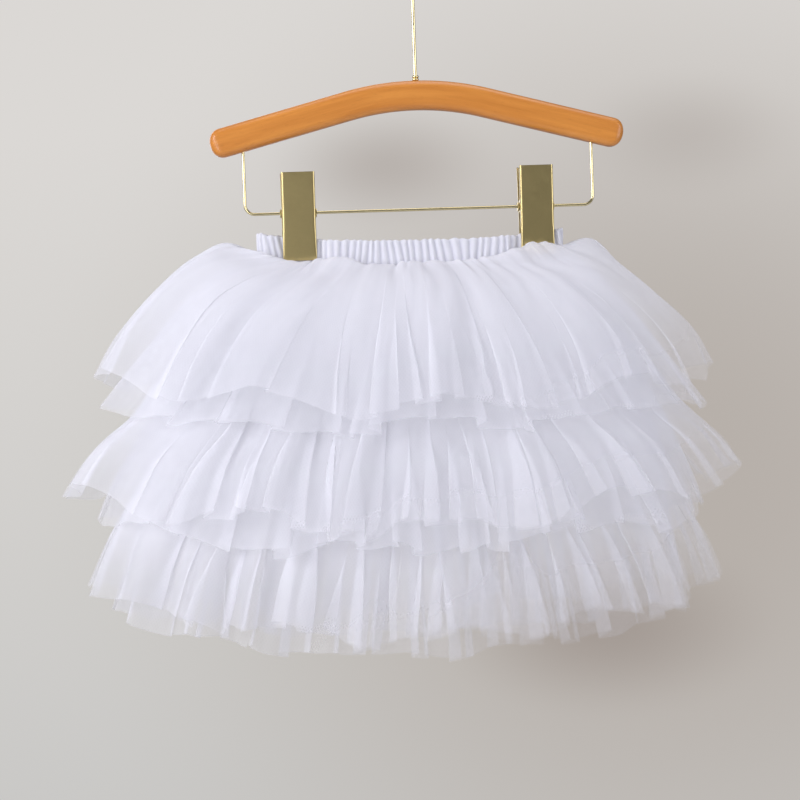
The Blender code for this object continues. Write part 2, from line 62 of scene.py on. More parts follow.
# Hanger, measured down from the inside top of the hook
BAR_TOP_Z = -0.095
BAR_HALF_LENGTH = 0.1505
BAR_HEIGHT = 0.0212
BAR_THICKNESS = 0.016
BAR_ARC_RADIUS = 0.207
BAR_ARM_SLOPE = math.radians(14.8)
BAR_END_RADIUS = 0.009
BAR_EDGE_RADIUS = 0.0055
BAR_STATIONS_A_HALF = 46
BAR_STATIONS_AT_END = 12
BAR_GIRTH_STATION = 60
BAR_POINTS_ROUND = 48

HOOK_WIRE = 0.0026
HOOK_INNER_RADIUS = 0.016
HOOK_JOIN_ANGLE = math.radians(80.0)
HOOK_TIP_ANGLE = math.radians(196.0)
HOOK_IN_BAR = 0.010
HOOK_BEND_STEPS = 14
HOOK_CURL_STEPS = 64
FERRULE_RADIUS = 0.0024
FERRULE_HEIGHT = 0.0040
FERRULE_BEAD_OUT = 0.0001
FERRULE_BEAD_STEPS = 9
FERRULE_SIDES = 32

RAIL_WIRE = 0.0022
RAIL_HALF_WIDTH = 0.1272
RAIL_Z = -0.1887
RAIL_CORNER_RADIUS = 0.007
RAIL_CORNER_STEPS = 16
RAIL_IN_BAR = 0.007
WIRE_FINENESS = 6

# Clips
CLIP_PLACES = {"left": -0.0886, "right": 0.0850}
CLIP_HALF_WIDTH = 0.0118
CLIP_TOP_Z = -0.1595
CLIP_BOTTOM_Z = -0.2235
CLIP_SHEET = 0.0008
CLIP_BEND_RADIUS = 0.0010
CLIP_JAW_Y = 0.0050
CLIP_RAIL_Y = 0.0080
CLIP_LUG_PAST_RAIL = 0.0024
CLIP_LUG_HALF_HEIGHT = 0.0028
CLIP_LUG_SHOULDER = 0.0027
CLIP_FLANGE = 0.0032
CLIP_TOP_FLANGE = 0.0018
CLIP_TAPER = 0.003
CLIP_JAW_FLANGE = 0.0012
CLIP_TIP_FLANGE = 0.0003
CLIP_ABOVE_BAND = 0.0025
EAR_HALF_HEIGHT = 0.003
EAR_END_Y = 0.0074
EAR_GAP = 0.0003
SPRING_RADIUS = 0.0045
SPRING_WIRE = 0.0016
SPRING_TURNS = 5
SPRING_POINTS_A_TURN = 20
SPRING_FINENESS = 4
PLATE_STEPS = 6
PLATE_BEND_STEPS = 7
PLATE_FACE_STEPS = 22
BROKEN_EDGE = 0.00018
BROKEN_ANGLE = math.radians(50.0)

# Waist
WAIST_CENTRE_X = -0.0078
WAIST_HALF_WIDTH = 0.1095
WAIST_HALF_DEPTH = 0.0065
WAIST_SQUARENESS = 3.0
WAIST_TOP_Z = -0.211
WAIST_END_RISE = 0.0065
WAIST_RISE_POWER = 3.0
WAIST_TILT = 0.012
WAIST_HEIGHT = 0.0180
GRIPPED_HALF_DEPTH = 0.0015
GRIP_HALF_WIDTH = 0.0138
GRIP_FADE = 0.011
BAND_WALL = 0.0022
BAND_SEED = 5
BAND_OWN_SEED = 51
GATHERS = 92
GATHER_GROUP = 4
COLUMNS_A_GATHER = 9
RIB_HEIGHT = 0.00062
RIB_SINK = 0.00015
RIB_ROUNDNESS = 0.62
RIB_LEAST_FAT = 0.55
RIB_MOST_FAT = 1.25
EDGE_LIFT = 0.0007
EDGE_ROLL = 0.0004
JERSEY_GATHERED_IN = 1.7

# Round the waistband's wall: share of the wall, height, and how much ribs and rolled edge show, 0 to 1
BAND_SECTION = (
    (0.10, 0.02, 0.0, 0.0), (0.45, -0.015, 0.1, 0.0), (0.78, -0.02, 0.35, 0.0), (0.95, 0.03, 0.7, 0.0),
    (1.0, 0.10, 0.95, 0.0), (1.0, 0.22, 1.0, 0.0), (1.0, 0.36, 1.0, 0.0), (1.0, 0.50, 1.0, 0.0),
    (1.0, 0.64, 1.0, 0.0), (1.0, 0.78, 1.0, 0.0), (1.0, 0.88, 0.95, 0.0), (0.98, 0.95, 0.8, 0.3),
    (0.84, 0.99, 0.5, 0.8), (0.55, 1.0, 0.25, 1.0), (0.25, 0.985, 0.1, 0.7), (0.05, 0.94, 0.0, 0.2),
    (0.0, 0.80, 0.0, 0.0), (0.0, 0.50, 0.0, 0.0), (0.0, 0.20, 0.0, 0.0), (0.02, 0.06, 0.0, 0.0),
)
BAND_ROW_ROUND = 7

# Cloth
SEAM_STEP = 0.0016
SEAM_HALF_WALL = 0.00065
SEAM_GAP = 0.0003
SEAM_DROP = 0.0012
TIER_SEAM_OUT = 0.0019
LEAN = 0.047
SKIRT_SQUARENESS = 2.25
UNEVENNESS = 0.35
SOLID_COLUMNS = 72
SOLID_GROUP = 4
SOLID_SEED = 3
CURVE_SAMPLES = 2880
FORM_COLUMNS = 1440

# Creases: half the width they turn in and the width they rise in, each a least one and a share of the
# fold-over, and how far they rise
TURN_LEAST = 0.0013
TURN_SHARE = 0.17
RISE_WIDTH_LEAST = 0.0040
RISE_WIDTH_SHARE = 0.8
RISE_LEAST = 0.0006
RISE_SHARE = 0.30
CROWDING = 2.2

# Small gathers at a seam: how many, how high, how far down they reach
SEAM_GATHERS = ((120, 0.00045, 0.010), (70, 0.00070, 0.018), (41, 0.00080, 0.034))
CRINKLES = 5
CRINKLE_HEIGHT = 0.00045
FULL_JAG_FOLD = 0.005

# Where down the cloth a placed pleat starts at the latest and how far it slants, as shares
PLEAT_START = 0.45
PLEAT_SLANT = 0.012

# A small pleat's start from the least to the most, its slant and its fold-over in mm
SMALL_PLEAT_START = (0.15, 0.6)
SMALL_PLEAT_SLANT = 0.02
SMALL_PLEAT_MM = (1.2, 3.4)

# How finely the way round is sampled when a mesh's columns are crowded together
SAMPLES_A_COLUMN = 20

# Streaks of closer net: width as a share of the way round, share of the whole
STREAKS = ((0.022, 0.45), (0.011, 0.33), (0.005, 0.22))
# How far apart down the cloth a streak's bends are
STREAK_LENGTHS = (0.09, 0.045)
STREAK_STRENGTH = 0.7
STREAK_COVER = 0.14

# How close the gathered net lies, and where down the cloth its hem's thinning and steps start
MOST_GATHERED = 3.5
BUNCHED_OVER = 0.2
HEM_STARTS = 0.5
HEM_THINNING = 0.40

# Each layer's random draws start from its own seed plus one of these
PLEAT_SEED = 100
CRINKLE_SEED = 200
CUT_SEED = 300
STREAK_SEED = 400

# Each cloth's sections below the waist, one row a section from the top down
# half_width, half_depth, z at the left, z at the right, z at front and back, how late the sides rise
BASE_ROWS = (
    (0.126, 0.020, -0.238, -0.241, -0.244, 2.0),
    (0.150, 0.037, -0.271, -0.276, -0.280, 2.0),
    (0.178, 0.056, -0.344, -0.348, -0.355, 2.0),
    (0.192, 0.070, -0.409, -0.413, -0.422, 2.0),
    (0.206, 0.090, -0.475, -0.485, -0.505, 2.0),
)
TIER_1_UNDER_ROWS = (
    (0.128, 0.024, -0.226, -0.231, -0.239, 4.0),
    (0.153, 0.046, -0.245, -0.255, -0.264, 2.0),
    (0.185, 0.068, -0.283, -0.293, -0.303, 2.0),
    (0.218, 0.090, -0.327, -0.335, -0.347, 2.0),
)
TIER_1_OUTER_ROWS = (
    (0.129, 0.026, -0.210, -0.214, -0.232, 6.0),
    (0.153, 0.050, -0.218, -0.233, -0.248, 4.0),
    (0.181, 0.072, -0.241, -0.257, -0.276, 2.0),
    (0.206, 0.088, -0.272, -0.285, -0.303, 2.0),
    (0.222, 0.100, -0.303, -0.315, -0.331, 2.0),
)
TIER_2_UNDER_ROWS = (
    (0.168, 0.052, -0.305, -0.309, -0.318, 2.0),
    (0.191, 0.072, -0.345, -0.349, -0.362, 2.0),
    (0.207, 0.090, -0.377, -0.383, -0.398, 2.0),
    (0.218, 0.104, -0.404, -0.412, -0.430, 2.0),
)
TIER_2_OUTER_ROWS = (
    (0.175, 0.058, -0.297, -0.301, -0.308, 2.0),
    (0.197, 0.072, -0.329, -0.333, -0.343, 2.0),
    (0.225, 0.098, -0.357, -0.358, -0.378, 2.0),
    (0.243, 0.117, -0.387, -0.384, -0.414, 2.0),
)
TIER_3_OUTER_ROWS = (
    (0.191, 0.068, -0.374, -0.377, -0.388, 2.0),
    (0.205, 0.084, -0.404, -0.408, -0.424, 2.0),
    (0.217, 0.101, -0.431, -0.437, -0.458, 2.0),
    (0.226, 0.112, -0.456, -0.465, -0.490, 2.0),
)

# How high the outer top tier puffs up over the waistband, in mm above its seam, at places across in mm
PUFF_OUT = 0.0075
PUFF_FRONT = (
    (-118, 5), (-98, 2.0), (-90, 1.8), (-82, 2.6), (-76, 3.4), (-62, 7), (-52, 6), (-44, 1.5), (-20, 1),
    (-10, 3), (20, 2.5), (42, 4), (55, 6), (70, 11), (78, 12), (85, 11.8), (94, 8), (100, 5.5), (112, 5),
)
PUFF_BACK = (
    (-118, 5), (-92, 6.5), (-76, 3), (-55, 1.5), (-38, 4), (-12, 2), (8, 5.5), (30, 3), (52, 1.5), (74, 5),
    (90, 7.5), (112, 5),
)

# Main creases: where one meets the hem, in mm across, and how far it folds over, in mm,
# minus where the panel on its right lies on top. A back's are in the same terms, seen from the front.
BASE_FRONT = (
    (-191, 4), (-172, -3), (-153, 5), (-135, 4), (-114, -6), (-96, 4), (-77, 3), (-61, -6), (-47, 5),
    (-21, 4), (6, -6), (16, 4), (34, 5), (45, -3), (61, 6), (77, -4), (85, 5), (96, 3), (115, 6),
    (139, -4), (156, 5), (179, 4),
)
BASE_BACK = (
    (-184, -4), (-160, 5), (-139, 4), (-118, -6), (-92, 4), (-70, -5), (-52, 5), (-31, 4), (-12, -6),
    (9, 4), (27, 5), (44, -3), (69, 6), (86, 4), (104, -5), (127, 5), (149, 3), (170, -4),
)
TIER_1_UNDER_FRONT = (
    (-186, 4), (-150, -5), (-112, 5), (-71, 4), (-44, -5), (-4, 4), (32, 5), (66, -4), (101, 5),
    (140, 4), (176, -3),
)
TIER_1_UNDER_BACK = (
    (-179, -4), (-134, 5), (-90, -4), (-48, 5), (-9, 4), (38, -5), (82, 5), (121, 4), (165, -4),
)
TIER_1_FRONT = (
    (-196, 4), (-158, -3), (-118, 3), (-72, 3), (-46, -5), (-31, 7), (-14, 5), (-2, -6), (14, 6),
    (34, 7), (50, -5), (60, 4), (82, 6), (110, -4), (136, 5), (160, 4), (184, -5),
)
TIER_1_BACK = (
    (-181, -5), (-146, 5), (-108, -6), (-79, 6), (-55, 4), (-23, -7), (2, 6), (31, -4), (56, 7),
    (84, 5), (113, -5), (139, 6), (171, 4),
)
TIER_2_UNDER_FRONT = (
    (-186, -4), (-151, 5), (-112, 4), (-84, -5), (-57, 5), (-18, 5), (15, -5), (42, 5), (72, 4),
    (98, -5), (128, 4), (160, 5), (187, -3),
)
TIER_2_UNDER_BACK = (
    (-176, 4), (-131, -5), (-88, 5), (-46, 5), (-7, -4), (35, 5), (79, -5), (118, 4), (163, 5),
)
TIER_2_FRONT = (
    (-215, 4), (-186, -5), (-160, 6), (-140, 5), (-122, -4), (-100, 7), (-84, 3), (-68, -6), (-50, 7),
    (-27, 4), (-9, 7), (9, -6), (27, 6), (36, 3), (57, 8), (71, -4), (84, 5), (112, -6), (141, 6),
    (174, 5), (203, -4),
)
TIER_2_BACK = (
    (-206, -5), (-171, 6), (-138, 5), (-109, -6), (-78, 7), (-49, 4), (-22, 6), (3, -7), (29, 5),
    (61, 7), (88, -4), (119, 6), (150, -5), (183, 5), (212, 3),
)
TIER_3_FRONT = (
    (-200, 5), (-178, -4), (-152, 6), (-141, 3), (-116, -7), (-99, 6), (-82, 5), (-65, 6), (-53, 3),
    (-38, -5), (-21, 4), (-11, 7), (3, -4), (19, 7), (35, 6), (45, -5), (64, 7), (84, -6), (104, 7),
    (116, 3), (136, 6), (148, -5), (164, 6), (180, 4), (202, 5),
)
TIER_3_BACK = (
    (-196, -4), (-165, 6), (-143, 5), (-121, -6), (-96, 6), (-73, 4), (-50, -7), (-33, 6), (-8, 5),
    (17, -5), (39, 6), (58, 4), (83, -7), (105, 6), (131, 5), (157, -4), (188, 5),
)

Layer = namedtuple("Layer", (
    "rows", "fold_columns", "fold_depth", "smooth_rows", "scallops", "scallop_height", "wander",
    "seed", "front", "back", "columns", "rings", "plies", "bunched", "jag", "small_pleats", "overlap",
    "softness", "flat_width", "flat_length", "sewn_to",
))
# plies is how many nets lie together, bunched how much closer they lie on the left, jag half the
# unevenness of the cut edge between creases, overlap and softness stretch every crease's fold-over and
# the width it rises across
LAYERS = {
    "base_skirt": Layer(
        BASE_ROWS, 4, 0.0060, 3, 9, 0.0025, 0.006, 11, BASE_FRONT, BASE_BACK,
        1800, 48, 1.4, 0.5, 0.0040, 22, 1.2, 1.0, 1.38, 0.285, ("waistband",)),
    "tier_1_under": Layer(
        TIER_1_UNDER_ROWS, 6, 0.0045, 0, 7, 0.0035, 0.008, 12, TIER_1_UNDER_FRONT, TIER_1_UNDER_BACK,
        1500, 34, 2.0, 0.2, 0.0045, 10, 1.2, 1.2, 1.18, 0.152, ("waistband",)),
    "tier_1_outer": Layer(
        TIER_1_OUTER_ROWS, 4, 0.0048, 0, 8, 0.0072, 0.008, 13, TIER_1_FRONT, TIER_1_BACK,
        1800, 42, 1.9, 0.4, 0.0040, 10, 1.0, 1.3, 1.24, 0.155, ("waistband",)),
    "tier_2_under": Layer(
        TIER_2_UNDER_ROWS, 6, 0.0060, 0, 7, 0.0045, 0.008, 14, TIER_2_UNDER_FRONT, TIER_2_UNDER_BACK,
        1500, 34, 2.0, 0.2, 0.0055, 12, 1.3, 1.1, 1.40, 0.152, ("base_skirt",)),
    "tier_2_outer": Layer(
        TIER_2_OUTER_ROWS, 4, 0.0070, 0, 9, 0.0070, 0.008, 15, TIER_2_FRONT, TIER_2_BACK,
        1800, 38, 1.5, 0.4, 0.0060, 20, 1.4, 1.2, 1.68, 0.154, ("base_skirt",)),
    "tier_3_outer": Layer(
        TIER_3_OUTER_ROWS, 3, 0.0060, 0, 10, 0.0045, 0.008, 16, TIER_3_FRONT, TIER_3_BACK,
        1800, 36, 1.4, 0.55, 0.0055, 26, 1.4, 1.0, 1.82, 0.137, ("base_skirt",)),
}

# Where a net lies thin at the front: place across in mm, reach in mm, share of the net that is missing
THIN_PLACES = {
    "base_skirt": ((60, 55, 0.45),),
    "tier_3_outer": ((48, 24, 0.55), (-50, 12, 0.35)),
}


# Colour and nodes

def linear(hex_colour):
    """A linear colour from an sRGB hex value."""
    parts = [int(hex_colour[start:start + 2], 16) / 255.0 for start in (0, 2, 4)]
    return tuple(part / 12.92 if part <= 0.04045 else ((part + 0.055) / 1.055) ** 2.4
                 for part in parts) + (1.0,)


def add_node(tree, kind, inputs=None, **settings):
    """Adds a node with its settings, and sets or links each named input."""
    node = tree.nodes.new(kind)
    for name, value in settings.items():
        setattr(node, name, value)
    for name, value in (inputs or {}).items():
        socket = node.inputs[name]
        if isinstance(value, bpy.types.NodeSocket):
            tree.links.new(value, socket)
        else:
            socket.default_value = value
    return node


def new_material(name):
    """An empty material and its output node."""
    material = bpy.data.materials.new(name)
    material.use_nodes = True
    tree = material.node_tree
    tree.nodes.clear()
    return material, tree, add_node(tree, "ShaderNodeOutputMaterial")


def colour_between(tree, factor, low, high):
    """A colour that goes from one to another as the factor does."""
    # A mix node's inputs have the same names for numbers and for colours, so they go by number.
    blend = add_node(tree, "ShaderNodeMix", {0: factor, 6: low, 7: high}, data_type="RGBA")
    return blend.outputs[2]


def value_between(tree, value, low, high, to_low, to_high):
    """Stretches a value from one range to another and holds it there."""
    spread = add_node(tree, "ShaderNodeMapRange", {
        "Value": value, "From Min": low, "From Max": high, "To Min": to_low, "To Max": to_high})
    return spread.outputs["Result"]


# Materials

# A wave texture's scale is this over the distance between its bands
WAVE_SCALE = 0.314
THREAD_SLANT = math.radians(32.0)
TULLE_LIGHT_THROUGH = 0.48
JERSEY_WALE = 0.9 * MM

# Roughness, and how fine its marks are
DRAWN_WIRE = (0.18, 300.0)
PRESSED_SHEET = (0.30, 160.0)
WOUND_SPRING = (0.32, 300.0)


def tulle_material(settings):
    """White nylon tulle: a soft matt net, see-through in one ply and chalky in many.

    The eye gets thin streaks down each panel, a faint diamond net close up, and a bluish white.
    """
    material, tree, output = new_material("white nylon tulle, knitted net")
    cloth = add_node(tree, "ShaderNodeUVMap", uv_map="cloth")
    cover = add_node(tree, "ShaderNodeAttribute", attribute_name="cover", attribute_type="GEOMETRY")

    # The net's real cells are about 1.3 mm; they are drawn at 2 mm, or they would not show at all.
    net = []
    for turn in (THREAD_SLANT, -THREAD_SLANT):
        turned = add_node(tree, "ShaderNodeMapping", {"Vector": cloth.outputs["UV"],
                                                      "Rotation": (0.0, 0.0, turn)})
        lines = add_node(tree, "ShaderNodeTexWave", {
            "Vector": turned.outputs["Vector"], "Scale": WAVE_SCALE / settings.net_cell},
            wave_type="BANDS", bands_direction="X", wave_profile="SIN")
        net.append(lines.outputs["Fac"])
    threads = add_node(tree, "ShaderNodeMath", {0: net[0], 1: net[1]}, operation="MAXIMUM")

    by_net = value_between(tree, threads.outputs["Value"], 0.3, 1.0, 0.98, 1.01)
    alpha = add_node(tree, "ShaderNodeMath", {0: cover.outputs["Fac"], 1: by_net},
                     operation="MULTIPLY", use_clamp=True)
    streaks = add_node(tree, "ShaderNodeAttribute", attribute_name="streak", attribute_type="GEOMETRY")
    white = colour_between(tree, streaks.outputs["Fac"], settings.tulle_shade, settings.tulle_white)
    # The threads are too fine for a gloss of their own.
    front = add_node(tree, "ShaderNodeBsdfPrincipled", {
        "Base Color": white, "Roughness": 0.62, "Specular IOR Level": 0.0})
    through = add_node(tree, "ShaderNodeBsdfTranslucent", {"Color": white})
    cloth_light = add_node(tree, "ShaderNodeMixShader", {
        0: TULLE_LIGHT_THROUGH, 1: front.outputs["BSDF"], 2: through.outputs["BSDF"]})
    holes = add_node(tree, "ShaderNodeBsdfTransparent")
    net_light = add_node(tree, "ShaderNodeMixShader", {
        0: alpha.outputs["Value"], 1: holes.outputs["BSDF"], 2: cloth_light.outputs["Shader"]})
    # A shadow only needs how much light gets through, without the net and the streaks' white.
    stopped = add_node(tree, "ShaderNodeBsdfDiffuse")
    shadow = add_node(tree, "ShaderNodeMixShader", {
        0: cover.outputs["Fac"], 1: holes.outputs["BSDF"], 2: stopped.outputs["BSDF"]})
    ray = add_node(tree, "ShaderNodeLightPath")
    either = add_node(tree, "ShaderNodeMixShader", {
        0: ray.outputs["Is Shadow Ray"], 1: net_light.outputs["Shader"], 2: shadow.outputs["Shader"]})
    tree.links.new(either.outputs["Shader"], output.inputs["Surface"])
    return material


def jersey_material(settings):
    """White cotton jersey: matt, with fine upright knit ribs that only show close up, and painted shade in
    the hollows between the gathered ribs.
    """
    material, tree, output = new_material("white cotton jersey, gathered over elastic")
    cloth = add_node(tree, "ShaderNodeUVMap", uv_map="cloth")
    # Knit wales are 0.9 mm apart on the flat cloth.
    wales = add_node(tree, "ShaderNodeTexWave", {
        "Vector": cloth.outputs["UV"], "Scale": WAVE_SCALE / JERSEY_WALE, "Distortion": 0.6},
        wave_type="BANDS", bands_direction="X", wave_profile="SIN")
    fuzz = add_node(tree, "ShaderNodeTexNoise", {
        "Vector": cloth.outputs["UV"], "Scale": 900.0, "Detail": 3.0})
    height = add_node(tree, "ShaderNodeMath", {0: wales.outputs["Fac"], 1: fuzz.outputs["Fac"]},
                      operation="ADD")
    bump = add_node(tree, "ShaderNodeBump", {
        "Height": height.outputs["Value"], "Strength": 0.4, "Distance": 0.0003})
    # Painted shade: the hollows between the ribs get a darker colour, more the deeper they lie.
    painted_rib_shade = add_node(tree, "ShaderNodeAttribute", attribute_name="painted_rib_shade", attribute_type="GEOMETRY")
    white = colour_between(tree, painted_rib_shade.outputs["Fac"], settings.jersey_white, settings.jersey_painted_shade)
    cotton = add_node(tree, "ShaderNodeBsdfPrincipled", {
        "Base Color": white, "Roughness": 0.85, "Sheen Weight": 0.15, "Sheen Roughness": 0.5,
        "Normal": bump.outputs["Normal"]})
    tree.links.new(cotton.outputs["BSDF"], output.inputs["Surface"])
    return material


def beech_material(settings):
    """Steamed beech, turned on a moulder and lacquered: orange tan, short flecks, satin gloss."""
    material, tree, output = new_material("steamed beech, satin lacquer")
    place = add_node(tree, "ShaderNodeUVMap", uv_map="grain")
    # Growth lines run along the bar about 2.5 mm apart, flecks are 0.6 by 5 mm.
    long_way = add_node(tree, "ShaderNodeMapping", {"Vector": place.outputs["UV"],
                                                    "Scale": (0.06, 1.0, 1.0)})
    growth = add_node(tree, "ShaderNodeTexNoise", {
        "Vector": long_way.outputs["Vector"], "Scale": 210.0, "Detail": 4.0, "Roughness": 0.55,
        "Distortion": 0.4})
    fleck_way = add_node(tree, "ShaderNodeMapping", {"Vector": place.outputs["UV"],
                                                     "Scale": (0.12, 1.0, 1.0)})
    flecks = add_node(tree, "ShaderNodeTexNoise", {
        "Vector": fleck_way.outputs["Vector"], "Scale": 1500.0, "Detail": 2.0})
    tone = colour_between(tree, value_between(tree, growth.outputs["Fac"], 0.32, 0.70, 0.0, 1.0),
                          settings.beech_light, settings.beech_dark)
    dark = value_between(tree, flecks.outputs["Fac"], 0.60, 0.74, 0.0, 0.35)
    colour = colour_between(tree, dark, tone, settings.beech_fleck)
    bump = add_node(tree, "ShaderNodeBump", {
        "Height": growth.outputs["Fac"], "Strength": 0.12, "Distance": 0.0003})
    wood = add_node(tree, "ShaderNodeBsdfPrincipled", {
        "Base Color": colour, "Roughness": 0.42, "Coat Weight": 0.35,
        "Coat Roughness": 0.22, "Normal": bump.outputs["Normal"]})
    tree.links.new(wood.outputs["BSDF"], output.inputs["Surface"])
    return material


def metal_material(name, colour, roughness, wear_scale):
    """Metal with faint streaks in its gloss, as drawing or rolling leaves them."""
    material, tree, output = new_material(name)
    place = add_node(tree, "ShaderNodeTexCoord")
    marks = add_node(tree, "ShaderNodeTexNoise", {
        "Vector": place.outputs["Object"], "Scale": wear_scale, "Detail": 3.0, "Roughness": 0.6})
    gloss = value_between(tree, marks.outputs["Fac"], 0.3, 0.7, 0.94 * roughness, 1.08 * roughness)
    tarnish = colour_between(tree, value_between(tree, marks.outputs["Fac"], 0.35, 0.75, 0.0, 1.0),
                             colour, tuple(0.94 * part for part in colour[:3]) + (1.0,))
    bump = add_node(tree, "ShaderNodeBump", {
        "Height": marks.outputs["Fac"], "Strength": 0.02, "Distance": 0.0001})
    metal = add_node(tree, "ShaderNodeBsdfPrincipled", {
        "Base Color": tarnish, "Metallic": 1.0, "Roughness": gloss, "Normal": bump.outputs["Normal"]})
    tree.links.new(metal.outputs["BSDF"], output.inputs["Surface"])
    return material


def paper_material(name, colour):
    """Matt studio paper with a slight mottle."""
    material, tree, output = new_material(name)
    place = add_node(tree, "ShaderNodeTexCoord")
    mottle = add_node(tree, "ShaderNodeTexNoise", {
        "Vector": place.outputs["Object"], "Scale": 3.0, "Detail": 3.0})
    tone = colour_between(tree, mottle.outputs["Fac"], colour,
                          tuple(0.95 * part for part in colour[:3]) + (1.0,))
    paper = add_node(tree, "ShaderNodeBsdfPrincipled", {"Base Color": tone, "Roughness": 0.9})
    tree.links.new(paper.outputs["BSDF"], output.inputs["Surface"])
    return material


# Shared making

def dress(thing, material, slot, *nodes):
    """Gives a finished piece its material, links it into the scene, hangs it on the root and hides the
    solids it stands for.
    """
    thing.data.materials.clear()
    thing.data.materials.append(material)
    if not thing.users_collection:
        bpy.context.scene.collection.objects.link(thing)
    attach(thing, "root")
    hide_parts(*nodes)
    return thing


def grid_faces(rings, columns, closed, rolled):
    """Quads between rings of points, with the first ring's points numbered first."""
    here = np.arange(rings if rolled else rings - 1)[:, None] * columns
    below = (here + columns) % (rings * columns)
    across = np.arange(columns if closed else columns - 1)[None, :]
    there = (across + 1) % columns
    return np.stack((below + across, below + there, here + there, here + across),
                    axis=-1).reshape(-1, 4)


def grid_mesh(name, points, closed=True, flip=False, rolled=False):
    """A smooth mesh from rings of points, each closed or open, the last joined to the first or not."""
    rings, columns, _ = points.shape
    faces = grid_faces(rings, columns, closed, rolled)
    if flip:
        faces = faces[:, ::-1]
    mesh = bpy.data.meshes.new(name)
    mesh.from_pydata(points.reshape(-1, 3).tolist(), [], faces.tolist())
    mesh.update()
    mesh.shade_smooth()
    return mesh


def lay_uv(mesh, name, along, down, columns, length_round, along_first=True):
    """Writes surface coordinates, in metres, so that they also join up at the last column."""
    loops = np.zeros(len(mesh.loops), dtype=np.int32)
    mesh.loops.foreach_get("vertex_index", loops)
    column = loops % columns
    across = along.reshape(-1)[loops]
    face = np.repeat(np.arange(len(mesh.polygons)), 4)
    low_side = np.full(len(mesh.polygons), columns)
    np.minimum.at(low_side, face, column)
    high_side = np.zeros(len(mesh.polygons), dtype=np.int32)
    np.maximum.at(high_side, face, column)
    wraps = (high_side[face] - low_side[face]) > columns // 2
    across = np.where(wraps & (column == 0), length_round, across)
    deep = down.reshape(-1)[loops]
    layer = mesh.uv_layers.new(name=name)
    layer.data.foreach_set(
        "uv", np.column_stack((across, deep) if along_first else (deep, across)).ravel())


def way_round(ring):
    """Distance along a closed ring of points at each of them and back at the first."""
    steps = np.linalg.norm(np.roll(ring, -1, axis=0) - ring, axis=1)
    return np.concatenate(([0.0], np.cumsum(steps)))


def add_point_value(mesh, name, values):
    """Stores one number a point for a material to read."""
    attribute = mesh.attributes.new(name, "FLOAT", "POINT")
    attribute.data.foreach_set("value", values.astype(np.float32).ravel())


def smooth_step(value):
    """0 below 0, 1 above 1, and a soft rise between."""
    value = np.clip(value, 0.0, 1.0)
    return value * value * (3.0 - 2.0 * value)


def swing(value):
    """An odd hump: 0 at 0, 1 at 1, -1 at -1, and 0 again far off."""
    return value * np.exp(0.5 - 0.5 * value * value)


# Level curves round the skirt, as its solids have them

def curve_frame(x, y):
    """Spreads a closed curve's points evenly and gives each one's outward normal."""
    points = np.column_stack((x, y))
    closed = np.vstack((points, points[:1]))
    steps = np.linalg.norm(np.diff(closed, axis=0), axis=1)
    length = np.concatenate(([0.0], np.cumsum(steps)))
    even = np.linspace(0.0, length[-1], CURVE_SAMPLES, endpoint=False)
    points = np.column_stack([np.interp(even, length, closed[:, axis]) for axis in (0, 1)])
    along = np.roll(points, -1, axis=0) - np.roll(points, 1, axis=0)
    along /= np.linalg.norm(along, axis=1)[:, None]
    return points, np.column_stack((along[:, 1], -along[:, 0]))


def superellipse(half_width, half_depth, squareness):
    """A closed curve between an ellipse and a rectangle."""
    angle = np.linspace(0.0, 2.0 * math.pi, CURVE_SAMPLES, endpoint=False)
    across = np.cos(angle)
    deep = np.sin(angle)
    power = 2.0 / squareness
    x = half_width * np.sign(across) * np.abs(across) ** power
    y = half_depth * np.sign(deep) * np.abs(deep) ** power
    return x, y


def grip(x):
    """1 where a clip's jaws press the waist flat, 0 away from them."""
    from_clip = np.minimum(*(np.abs(x - place) for place in CLIP_PLACES.values()))
    return 1.0 - smooth_step((from_clip - GRIP_HALF_WIDTH) / GRIP_FADE)


def waist_curve(out):
    """The waist's flattened opening, moved out by a distance."""
    x, y = superellipse(WAIST_HALF_WIDTH, WAIST_HALF_DEPTH, WAIST_SQUARENESS)
    x += WAIST_CENTRE_X
    held = np.sign(y) * np.minimum(np.abs(y), GRIPPED_HALF_DEPTH)
    y += (held - y) * grip(x)
    points, normals = curve_frame(x, y)
    points = points + normals * out
    return curve_frame(points[:, 0], points[:, 1])


def middle_x(row):
    """Where a section's middle is: the skirt leans a little to the left on its way down."""
    _, _, left_z, right_z, front_z, _ = row
    return WAIST_CENTRE_X + LEAN * (0.25 * (left_z + right_z + 2.0 * front_z) - WAIST_TOP_Z)


def skirt_curve(row):
    """The outline of a section from above."""
    x, y = superellipse(row[0], row[1], SKIRT_SQUARENESS)
    return curve_frame(x + middle_x(row), y)


def pick(curve, share):
    """Points and normals of a closed curve at shares of its length."""
    points, normals = curve
    place = np.mod(share, 1.0) * CURVE_SAMPLES
    low = np.floor(place).astype(int) % CURVE_SAMPLES
    high = (low + 1) % CURVE_SAMPLES
    part = (place - np.floor(place))[:, None]
    return (points[low] * (1.0 - part) + points[high] * part,
            normals[low] * (1.0 - part) + normals[high] * part)


def uneven_columns(folds, columns, seed):
    """Shares of the way round at which the solids' columns stand."""
    chance = np.random.default_rng(seed)
    widths = 1.0 + UNEVENNESS * chance.uniform(-1.0, 1.0, folds)
    widths = widths / widths.sum()
    starts = np.concatenate(([0.0], np.cumsum(widths)))[:-1]
    steps = (np.arange(columns) + 0.5) / columns
    return (starts[:, None] + widths[:, None] * steps[None, :]).ravel()


def column_place(share, folds, columns, seed):
    """Which of the solids' columns a share of the way round falls on, as a fraction."""
    stands = uneven_columns(folds, columns, seed)
    count = folds * columns
    stands = np.concatenate(([stands[-1] - 1.0], stands, [stands[0] + 1.0]))
    return np.interp(share, stands, np.arange(-1, count + 1))


def fold_strengths(folds, seed):
    """The solids' uneven strengths of folds, from the same random numbers."""
    return 1.0 + UNEVENNESS * np.random.default_rng(seed).uniform(-1.0, 0.6, folds)


